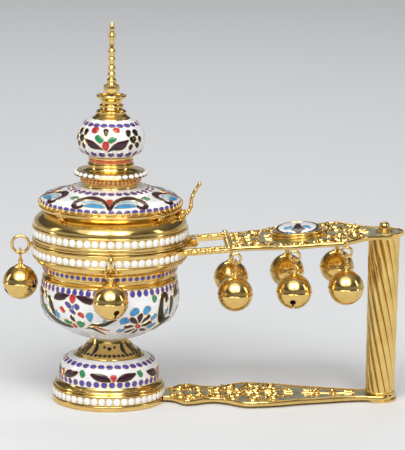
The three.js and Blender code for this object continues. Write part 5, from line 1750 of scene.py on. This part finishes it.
MEDALLION_CELLS = (
    ("maroon", ((298.2, 223.4), (300.2, 225), (301.4, 227), (304.2, 229), (301.6, 230.4), (300.4, 232),
        (298.2, 233.2), (296, 232.4), (294.4, 230.8), (291.8, 230), (294, 228.4), (294.8, 226.4),
        (296.2, 224.6))),
    ("sky", ((284.6, 228.6), (286.4, 227.2), (289, 226.6), (291.8, 227), (292.4, 228), (291, 229),
        (288.6, 229.8), (286, 229.8))),
    ("sky", ((303, 226.8), (304, 225.8), (306.6, 225.4), (309, 226.6), (310.4, 228), (308.6, 228.8),
        (305.8, 228.6), (303.8, 227.8))),
    ("sky", ((286.6, 232), (290, 232.6), (292.6, 233.4), (289.6, 233.6))),
    ("sky", ((309.6, 231), (306.4, 232.4), (303.8, 233.2), (307, 233.2))),
)


def medallion_place(lean_deg=0):
    """The medallion follows the sloping plate. The lean turns it to the front."""
    centre = middle("medallion")
    slope = Matrix.Rotation(-math.radians(UPPER_SLOPE_DEG), 4, "Y")
    lean = Matrix.Rotation(math.radians(lean_deg), 4, "X")
    return Matrix.Translation((centre.x, 0, upper_bottom(centre.x) + MEDALLION_SEAT)) @ slope @ lean


def moved(pile, place):
    pile.points = [tuple(place @ Vector(point)) for point in pile.points]
    return pile


def medallion():
    radius = box_mm("medallion")[1].y - MEDALLION_SETBACK
    bezel(radius)
    place = medallion_place(MEDALLION_LEAN_DEG) @ Matrix.Translation((0, 0, PLAQUE_LEVEL))
    medallion_cup(radius, place)

    def rise(r):
        return MEDALLION_RISE * (1 - min(r / radius, 1) ** 2)

    profile = [(radius, -PLAQUE_DEPTH), (radius, 0)]
    for k in range(1, DOME_RINGS):
        r = radius * (1 - k / DOME_RINGS)
        profile.append((r, rise(r)))
    pile = Pile()
    pile.turned_solid(profile, DOME_STEPS)
    white("medallion_skin", moved(pile, place), STAND, "medallion")
    medallion_enamel(Dome(rise, place, radius))


def bezel(radius):
    """The gold ring on the plate, round a plaque of this radius."""
    outer = box_mm("medallion_bezel")[1].y
    line = [(share * outer, level * BEZEL_HEIGHT) for part in BEZEL_SHARES for share, level in spline(part)]
    inner = radius - BEZEL_LIP
    line += [(inner, BEZEL_HEIGHT), (inner, -BEZEL_DEPTH), (line[0][0], -BEZEL_DEPTH)]
    pile = turned_ring(line, BEZEL_EDGE, 3, MEDALLION_STEPS)
    gilt("medallion_bezel_shape", moved(pile, medallion_place()), STAND, "medallion_bezel")


def medallion_cup(radius, place):
    """A gold cup that holds the leaning plaque."""
    inner, outer, wall = radius - BEZEL_LIP, radius + PLAQUE_WALL, radius - CUP_OVERLAP
    line = [(inner, -CUP_DEPTH), (outer, -CUP_DEPTH), (outer, CUP_LIP), (wall, CUP_LIP), (wall, -CUP_FLOOR),
            (inner, -CUP_FLOOR)]
    gilt("medallion_cup", moved(turned_ring(line, CUP_EDGE, 3, MEDALLION_STEPS), place), STAND)


def medallion_enamel(chart):
    """A dark flower between blue petals, inside a black border."""
    art = Ornament("medallion", chart, STAND)
    for colour, pixels in MEDALLION_CELLS:
        art.traced(colour, pixels, growth=MOTIF_GROWTH)
    ring = round_shares(BORDER_STEPS)
    ring.append(ring[0])
    edges = [[(c * radius, s * radius) for c, s in ring]
             for radius in (chart.radius - back for back in BORDER_SETBACKS)]
    art.ribbon("black", *edges, BORDER_STEPS)
    art.make()


# Post

POST_X = 173
POST_LOBES = 13
LOBE_STEPS = 10
LOBE_DEPTH = 1.15
LOBE_ROUNDNESS = 0.55
POST_TWIST_TURNS = -0.43
POST_LEVELS = 60
POST_FOOT_RADIUS = 9.3
POST_TOP_RADIUS = 10.0
POST_HEAD_GAP = 0.1
POST_RING_INSET = 1.0
POST_RING_DEPTH = 1.5
POST_RING_HALF = 0.8
POST_RING_EDGE = 0.6
POST_RING_GROWTH = (0.35, -0.25)


def post():
    """A fluted and twisted grip that widens upwards, with a ring at each end."""
    low, high = box_mm("handle_post")
    foot, head = low.z - SEAM, high.z + POST_HEAD_GAP
    loops = []
    for step in range(POST_LEVELS + 1):
        t = step / POST_LEVELS
        radius = POST_FOOT_RADIUS + (POST_TOP_RADIUS - POST_FOOT_RADIUS) * t
        twist = math.tau * POST_TWIST_TURNS * t
        loop = []
        for k in range(POST_LOBES * LOBE_STEPS):
            angle = math.tau * k / (POST_LOBES * LOBE_STEPS)
            wave = abs(math.cos(angle * POST_LOBES / 2)) ** LOBE_ROUNDNESS
            r = radius - LOBE_DEPTH * (1 - wave)
            spot = facing(angle + twist) * r
            loop.append(Vector((POST_X, 0, foot + (head - foot) * t)) + spot)
        loops.append(loop)
    pile = Pile()
    pile.skin(loops)
    post_ring(pile, foot + POST_RING_INSET, POST_FOOT_RADIUS + POST_RING_GROWTH[0])
    post_ring(pile, head - POST_RING_INSET, POST_TOP_RADIUS + POST_RING_GROWTH[1])
    gilt("handle_post_shape", pile, STAND, "handle_post")
    foot_nut()
    ball_nut()


def post_ring(pile, level, radius):
    line = oblong(radius - POST_RING_DEPTH, radius, level - POST_RING_HALF, level + POST_RING_HALF)
    pile.turned(rounded(line, POST_RING_EDGE, 4), 80, (POST_X, 0))


FOOT_NUT_BORE = 2.4
FOOT_NUT_EDGE = 0.3
BALL_NUT_EYE = 0.4
BALL_NUT_STEP = 0.8
BALL_NUT_BEVEL = (0.5, 1.15)
BALL_NUT_NECK = (3.4, 1.25)
BALL_NUT_BALL = (3.55, 2.4)
BALL_NUT_HEAD = ((3.0, 1.5), (1.7, 0.35), (BALL_NUT_EYE, 0))


def foot_nut():
    high = box_mm("post_foot_nut")[1]
    line = oblong(FOOT_NUT_BORE, high.y, 0, high.z + SEAM)
    gilt("post_foot_nut_shape", turned_ring(line, FOOT_NUT_EDGE, 3, 96, (POST_X, 0)), STAND, "post_foot_nut")


def ball_nut():
    """A ball on a stepped washer, over the end of the post's rod."""
    low, high = box_mm("ball_nut")
    wide = high.y
    foot = low.z - SEAM
    step = foot + BALL_NUT_STEP
    throat, widest = ((radius, foot + rise) for radius, rise in (BALL_NUT_NECK, BALL_NUT_BALL))
    head = [(radius, high.z - drop_by) for radius, drop_by in BALL_NUT_HEAD]
    line = runs([(BALL_NUT_EYE, foot), (wide, foot)], [(wide, step)],
                [(wide - BALL_NUT_BEVEL[0], foot + BALL_NUT_BEVEL[1]), throat], [widest] + head)
    pile = Pile()
    pile.turned_solid(line, 72, (POST_X, 0))
    gilt("ball_nut_shape", pile, STAND, "ball_nut")


# Bells

PLATE_BELLS = ("inner_near", "inner_far", "middle_near", "middle_far", "outer_near", "outer_far")
BOWL_BELLS = ("bowl_left", "bowl_front", "bowl_back")
BELL_TURNS = {"bowl_front": -90, "bowl_back": 90}
BELL_KINDS = (("plate", "plate_bell", 0), ("middle", "turned_bell", 82), ("bowl", "bowl_bell", 22))
BELL_RINGS = 48
BELL_STEPS = 72
BELL_SETBACK = 0.3
BELL_BEAD = 0.3
BELL_BEAD_SPREAD = 0.045
BELL_WALL = 1.3
BELL_SLOT = 1.2
BELL_SLOT_END_DEG = 63
BELL_SLOT_DROP = 2
BELL_HOLE = 1.9
BELL_HOLE_REACH = (0.6, 1.3)
LOOP_RADIUS = 3.4
LOOP_WIRE = 0.8
SHANK_FOOT = ((3.0, -0.75), (3.1, -0.35), (2.2, 0))
SHANK_NECK = (1.5, 0.6)
SHANK_HEAD = ((1.45, -3.6), (0.6, -3.0))


def bell_mesh(name, slot_turn):
    """A hollow bell with a seam bead, a slot in its foot that ends in round holes, and a shank with a loop.

    Its middle is at the origin. Each kind is built once and shared by its bells.
    """
    low, high = box_mm("bell_inner_near")
    radius = (high.x - low.x) / 2
    body = raw_object("bell_body", bell_ball(radius))
    cutters = [raw_object("bell_cut", pile) for pile in bell_cuts(radius, slot_turn)]
    for cutter in cutters:
        cut = body.modifiers.new("cut", "BOOLEAN")
        cut.operation = "DIFFERENCE"
        cut.solver = "EXACT"
        cut.object = cutter
    graph = bpy.context.evaluated_depsgraph_get()
    mesh = bpy.data.meshes.new_from_object(body.evaluated_get(graph))
    for item in [body] + cutters:
        bpy.data.objects.remove(item)
    shank = raw_mesh("bell_shank", bell_shank(radius, high.z - low.z))
    mesh = finished(faced_out(mesh, shank), GILT)
    mesh.name = name
    return mesh


def raw_object(name, pile):
    return linked(name, faced_out(raw_mesh(name, pile)))


def bell_ball(radius):
    profile = []
    for step in range(1, BELL_RINGS):
        angle = math.pi * step / BELL_RINGS - math.pi / 2
        reach = radius - BELL_SETBACK + BELL_BEAD * math.exp(-(angle / BELL_BEAD_SPREAD) ** 2)
        profile.append((reach * math.cos(angle), reach * math.sin(angle)))
    pile = Pile()
    pile.turned_solid(profile, BELL_STEPS)
    return pile


def bell_cuts(radius, slot_turn):
    """The hollow of a bell, its slot and the round holes at the slot's ends."""
    hollow = Pile()
    hollow.ball((0, 0, 0), radius - BELL_WALL, rings=24, steps=48)
    across = Matrix.Rotation(math.radians(slot_turn), 3, "Z")
    reach = radius * math.sin(math.radians(BELL_SLOT_END_DEG))
    top = -radius * math.cos(math.radians(BELL_SLOT_END_DEG))
    section = oblong(-BELL_SLOT / 2, BELL_SLOT / 2, -radius - BELL_SLOT_DROP, top)
    slot = Pile()
    slot.skin([[across @ Vector((x, y, z)) for y, z in section] for x in (-reach, reach)])
    cuts = [hollow, slot]
    for side in (-1, 1):
        out = across @ Vector((side * reach, 0, top))
        hole = Pile()
        hole.tube([out * share for share in BELL_HOLE_REACH], BELL_HOLE, sides=24)
        cuts.append(hole)
    return cuts


def bell_shank(radius, tall):
    """A small cup that narrows to a neck, and the loop on it."""
    middle_level = tall - radius - LOOP_RADIUS - LOOP_WIRE
    cup = [(wide, radius + rise) for wide, rise in SHANK_FOOT]
    neck_line = [(SHANK_NECK[0], radius + SHANK_NECK[1])]
    neck_line += [(wide, middle_level + rise) for wide, rise in SHANK_HEAD]
    pile = Pile()
    pile.turned_solid(runs(cup, neck_line), 24)
    loop = [Vector((0, LOOP_RADIUS * c, middle_level + LOOP_RADIUS * s)) for c, s in round_shares(32)]
    pile.tube(loop, LOOP_WIRE, sides=10, joined=True)
    return pile


def bells():
    """The loop of a bell stands across the wire of its ring, and its slot runs as the photograph shows."""
    meshes = {kind: bell_mesh(name, slot_turn) for kind, name, slot_turn in BELL_KINDS}
    for suffix in PLATE_BELLS + BOWL_BELLS:
        low, high = box_mm("bell_" + suffix)
        centre = Vector(((low.x + high.x) / 2, (low.y + high.y) / 2, low.z + (high.x - low.x) / 2))
        turn = Matrix.Rotation(math.radians(BELL_TURNS.get(suffix, 0)), 4, "Z")
        mesh = meshes.get(suffix.split("_")[0], meshes["plate"])
        place_mesh("bell_shape_" + suffix, mesh, "hung_" + suffix, ["bell_" + suffix],
                   Matrix.Translation(centre * MM) @ turn)


BOWL_EYE_WIRE = 0.95
BOWL_EYE_RADIUS = 5.35
LUG_PLACES = (48.6, 49.6, 50.9)
LUG_WIDTHS = [2.0, 1.7, 1.1]


def eyes():
    """The rings on which the bells hang."""
    for suffix in PLATE_BELLS:
        plate_eye(suffix)
    for suffix in BOWL_BELLS:
        bowl_eye(suffix)


def hoop(pile, centre, along, radius, wire, steps):
    """An upright ring of wire."""
    path = [centre + along * (radius * c) + Vector((0, 0, radius * s)) for c, s in round_shares(steps)]
    pile.tube(path, wire, sides=12, joined=True)


def plate_eye(suffix):
    low, high = box_mm("eye_" + suffix)
    wire = (high.y - low.y) / 2
    pile = Pile()
    hoop(pile, (low + high) / 2, Vector((1, 0, 0)), (high.x - low.x) / 2 - wire, wire, 36)
    gilt("eye_shape_" + suffix, pile, STAND, "eye_" + suffix)


def bowl_eye(suffix):
    """A ring that stands out from the bowl's ring on a lug."""
    node = "eye_" + suffix
    low, high = box_mm(node)
    out = facing(math.atan2(middle(node).y, middle(node).x))
    size = BOWL_EYE_RADIUS + BOWL_EYE_WIRE
    reach = max(abs(low.x), abs(high.x), abs(low.y), abs(high.y))
    centre = out * (reach - size) + Vector((0, 0, low.z + size))
    pile = Pile()
    hoop(pile, centre, out, BOWL_EYE_RADIUS, BOWL_EYE_WIRE, 40)
    pile.tube([out * r + Vector((0, 0, centre.z)) for r in LUG_PLACES], LUG_WIDTHS, sides=12)
    gilt("eye_shape_" + suffix, pile, STAND, node)


# Hidden and half-hidden pieces

PAN_EYE = 0.4
PAN_FLOOR = 1.2
PAN_INSIDE = ((20, 1.2), (30, 6), (36, 16), (37.6, 28))
PAN_INSIDE_RIM = ((37.8, 4), (40, 1.6))
PAN_OUTSIDE_RIM = ((40.2, 2.6), (38.6, 4.5))
PAN_OUTSIDE = ((38.4, 27), (36.8, 15.6), (30.8, 5.2), (20.4, 0))
PAN_EDGE = 1


def coal_pan():
    """The pan's line runs from the middle of its floor up the inside and back down the outside."""
    low, high = box_mm("coal_pan")
    inside, outside = ([(r, low.z + rise) for r, rise in line] for line in (PAN_INSIDE, PAN_OUTSIDE))
    inner_rim, outer_rim = ([(r, high.z - drop_by) for r, drop_by in line]
                            for line in (PAN_INSIDE_RIM, PAN_OUTSIDE_RIM))
    line = runs([(PAN_EYE, low.z + PAN_FLOOR), inside[0]], inside[1:] + inner_rim[:1],
                inner_rim[1:] + [(high.y, high.z)])
    under = runs([(high.y, high.z - PAN_EDGE)] + outer_rim, outside, [(PAN_EYE, low.z)])
    pile = Pile()
    pile.turned_solid(line + under, 120)
    piece("coal_pan_shape", pile, SOOT, STAND, ["coal_pan"])


BARREL_PLACES = (("hinge_barrels_bowl", STAND, (-5.3, 5.3)), ("hinge_barrel_lid", LID, (0,)))
BARREL_HALF = 2.5
BARREL_RADIUS = 2.6
BARREL_BORE = 1.5
BARREL_EDGE = 0.3
BARREL_STEPS = 28
TAB_START_X = 48.4
TAB_GAP = 1.2
TAB_HALF = 2.4
TAB_EDGE = 0.3


def hinge():
    """Round barrels, two on the bowl's ring and one on the lid's, each with a tab to its ring."""
    pin = middle("hinge_pin")
    for name, body, places in BARREL_PLACES:
        level = pin.z - BARREL_RADIUS if body == STAND else pin.z
        section = rounded(oblong(TAB_START_X, pin.x - TAB_GAP, level, level + BARREL_RADIUS), TAB_EDGE, 3)
        pile = Pile()
        for y in places:
            barrel(pile, [Vector((pin.x, y + side * BARREL_HALF, pin.z)) for side in (-1, 1)])
            pile.skin([[Vector((x, y + side * TAB_HALF, z)) for x, z in section] for side in (-1, 1)])
        gilt(name, pile, body)


def barrel(pile, ends):
    start, end = ends
    along = (end - start).normalized()
    across = any_across(along)
    other = along.cross(across)
    edge = along * BARREL_EDGE
    shoulder = BARREL_RADIUS - BARREL_EDGE
    loops = []
    for c, s in round_shares(BARREL_STEPS):
        arm = across * c + other * s
        loops.append([start + arm * BARREL_BORE, start + arm * shoulder, start + edge + arm * BARREL_RADIUS,
                      end - edge + arm * BARREL_RADIUS, end + arm * shoulder, end + arm * BARREL_BORE])
    pile.skin(loops, joined=True)


BASE_BORE = 2.2
BASE_RECESS = 0.25
BASE_INNER_FOOT = (8, 8.4, 9.2, 9.6)
BASE_OUTER_FOOT = (4, 3.6)
BASE_EDGE = 0.15


def base_plate():
    """The disc under the foot, which stands on two low rings."""
    high = box_mm("foot_base_plate")[1]
    start, foot_in, foot_out, end = BASE_INNER_FOOT
    line = [(BASE_BORE, BASE_RECESS), (start, BASE_RECESS), (foot_in, 0), (foot_out, 0), (end, BASE_RECESS),
            (high.y - BASE_OUTER_FOOT[0], BASE_RECESS), (high.y - BASE_OUTER_FOOT[1], 0), (high.y, 0),
            (high.y, high.z), (BASE_BORE, high.z)]
    gilt("foot_base_shape", turned_ring(line, BASE_EDGE, 2, 120), STAND, "foot_base_plate")


def finish_hidden_nodes():
    """CAD pieces that keep their own shape are steel, but the pin of the hinge is gilt."""
    for name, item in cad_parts.items():
        if item.hide_render or not item.data:
            continue
        finish = GILT if name == "hinge_pin" else STEEL
        for spot in item.material_slots:
            spot.material = finish
        if not item.material_slots:
            item.data.materials.append(finish)


# Camera, floor and light. Lengths here are metres.

def camera():
    data = bpy.data.cameras.new("camera")
    item = linked("camera", data)
    data.sensor_fit = "VERTICAL"
    data.sensor_height = SENSOR_HEIGHT
    data.lens = CAMERA_LENS
    right, up, back = camera_axes()
    turned = Matrix((right, up, back)).transposed().to_4x4()
    turned.translation = CAMERA_TARGET + back * CAMERA_DISTANCE
    item.matrix_world = turned
    bpy.context.scene.camera = item


FLOOR_RADIUS = 4.0
FLOOR_RISE = 1.4
FLOOR_STEPS = 96
FLOOR_RINGS = 12
FLOOR_COLOUR = (0.76, 0.77, 0.78, 1)
FLOOR_ROUGHNESS = 0.7


def floor():
    """A pale round floor that curves up into a low wall all round."""
    points = []
    for ring in range(FLOOR_RINGS + 1):
        turn = math.pi / 2 * ring / FLOOR_RINGS
        radius = FLOOR_RADIUS + FLOOR_RISE * math.sin(turn)
        points += circle(radius, FLOOR_RISE * (1 - math.cos(turn)), FLOOR_STEPS)
    faces = [list(range(FLOOR_STEPS))]
    for ring in range(FLOOR_RINGS):
        for step in range(FLOOR_STEPS):
            here = ring * FLOOR_STEPS + step
            after = ring * FLOOR_STEPS + (step + 1) % FLOOR_STEPS
            faces.append([here, here + FLOOR_STEPS, after + FLOOR_STEPS, after])
    mesh = bpy.data.meshes.new("floor")
    mesh.from_pydata(points, [], faces)
    mesh.shade_smooth()
    material, tree, shader = node_material("pale_floor")
    shader.inputs["Base Color"].default_value = FLOOR_COLOUR
    shader.inputs["Roughness"].default_value = FLOOR_ROUGHNESS
    mesh.materials.append(material)
    item = linked("floor", mesh)


# Lamps: name, azimuth and elevation in degrees, distance, size and power
LAMPS = (
    ("key_left", -112, 44, 1.9, (0.8, 1.2), 16),
    ("key_right", -74, 44, 1.9, (0.6, 1.2), 12),
    ("side_left", 175, 18, 2.0, (0.25, 1.0), 3),
    ("side_right", -10, 22, 2.0, (0.25, 1.0), 3),
    ("back", 90, 45, 2.2, (1.6, 0.5), 8),
)
LAMP_TARGET = Vector((0.05, 0, 0.11))
SUN_STRENGTH = 0.95
SUN_SPREAD_DEG = 70
SUN_TILT_DEG = (38, 0, -12)
# Sky: height and grey
SKY = ((0.0, 0.1), (0.2, 0.06), (0.6, 0.12), (1.0, 0.4))


def lamp(name, azimuth, elevation, distance, size, power):
    data = bpy.data.lights.new(name, "AREA")
    data.shape = "RECTANGLE"
    data.size, data.size_y = size
    data.energy = power
    high = math.radians(elevation)
    away = facing(math.radians(azimuth)) * math.cos(high) + Vector((0, 0, math.sin(high)))
    item = linked(name, data)
    item.location = away * distance + LAMP_TARGET
    item.rotation_euler = (-away).to_track_quat("-Z", "Y").to_euler()


def sky():
    """A grey world that is lighter overhead."""
    world = bpy.data.worlds.new("studio")
    bpy.context.scene.world = world
    world.use_nodes = True
    tree = world.node_tree
    where = tree.nodes.new("ShaderNodeTexCoord")
    split = tree.nodes.new("ShaderNodeSeparateXYZ")
    tree.links.new(where.outputs["Generated"], split.inputs["Vector"])
    tone = ramp(tree, split.outputs["Z"], [(place, (grey,) * 3) for place, grey in SKY])
    background = tree.nodes["Background"]
    tree.links.new(tone, background.inputs["Color"])
    background.inputs["Strength"].default_value = 1.0


def lights():
    sky()
    for row in LAMPS:
        lamp(*row)
    data = bpy.data.lights.new("soft_sun", "SUN")
    data.energy = SUN_STRENGTH
    data.angle = math.radians(SUN_SPREAD_DEG)
    linked("soft_sun", data).rotation_euler = [math.radians(turn) for turn in SUN_TILT_DEG]


def build():
    foot_enamel(foot())
    neck_enamel(neck())
    bowl_enamel(*bowl())
    pearl_row("bowl_pearls", "bowl_pearl_band", STAND, RIM_PEARLS, RIM_PEARL)
    lid()
    disc_enamel(lid_disc())
    thumb_lever()
    knob_enamel(finial())
    upper_plate()
    lower_plate()
    medallion()
    post()
    bells()
    eyes()
    coal_pan()
    hinge()
    base_plate()
    finish_hidden_nodes()
    camera()
    floor()
    lights()
    bpy.context.scene.view_settings.view_transform = "Standard"


build()
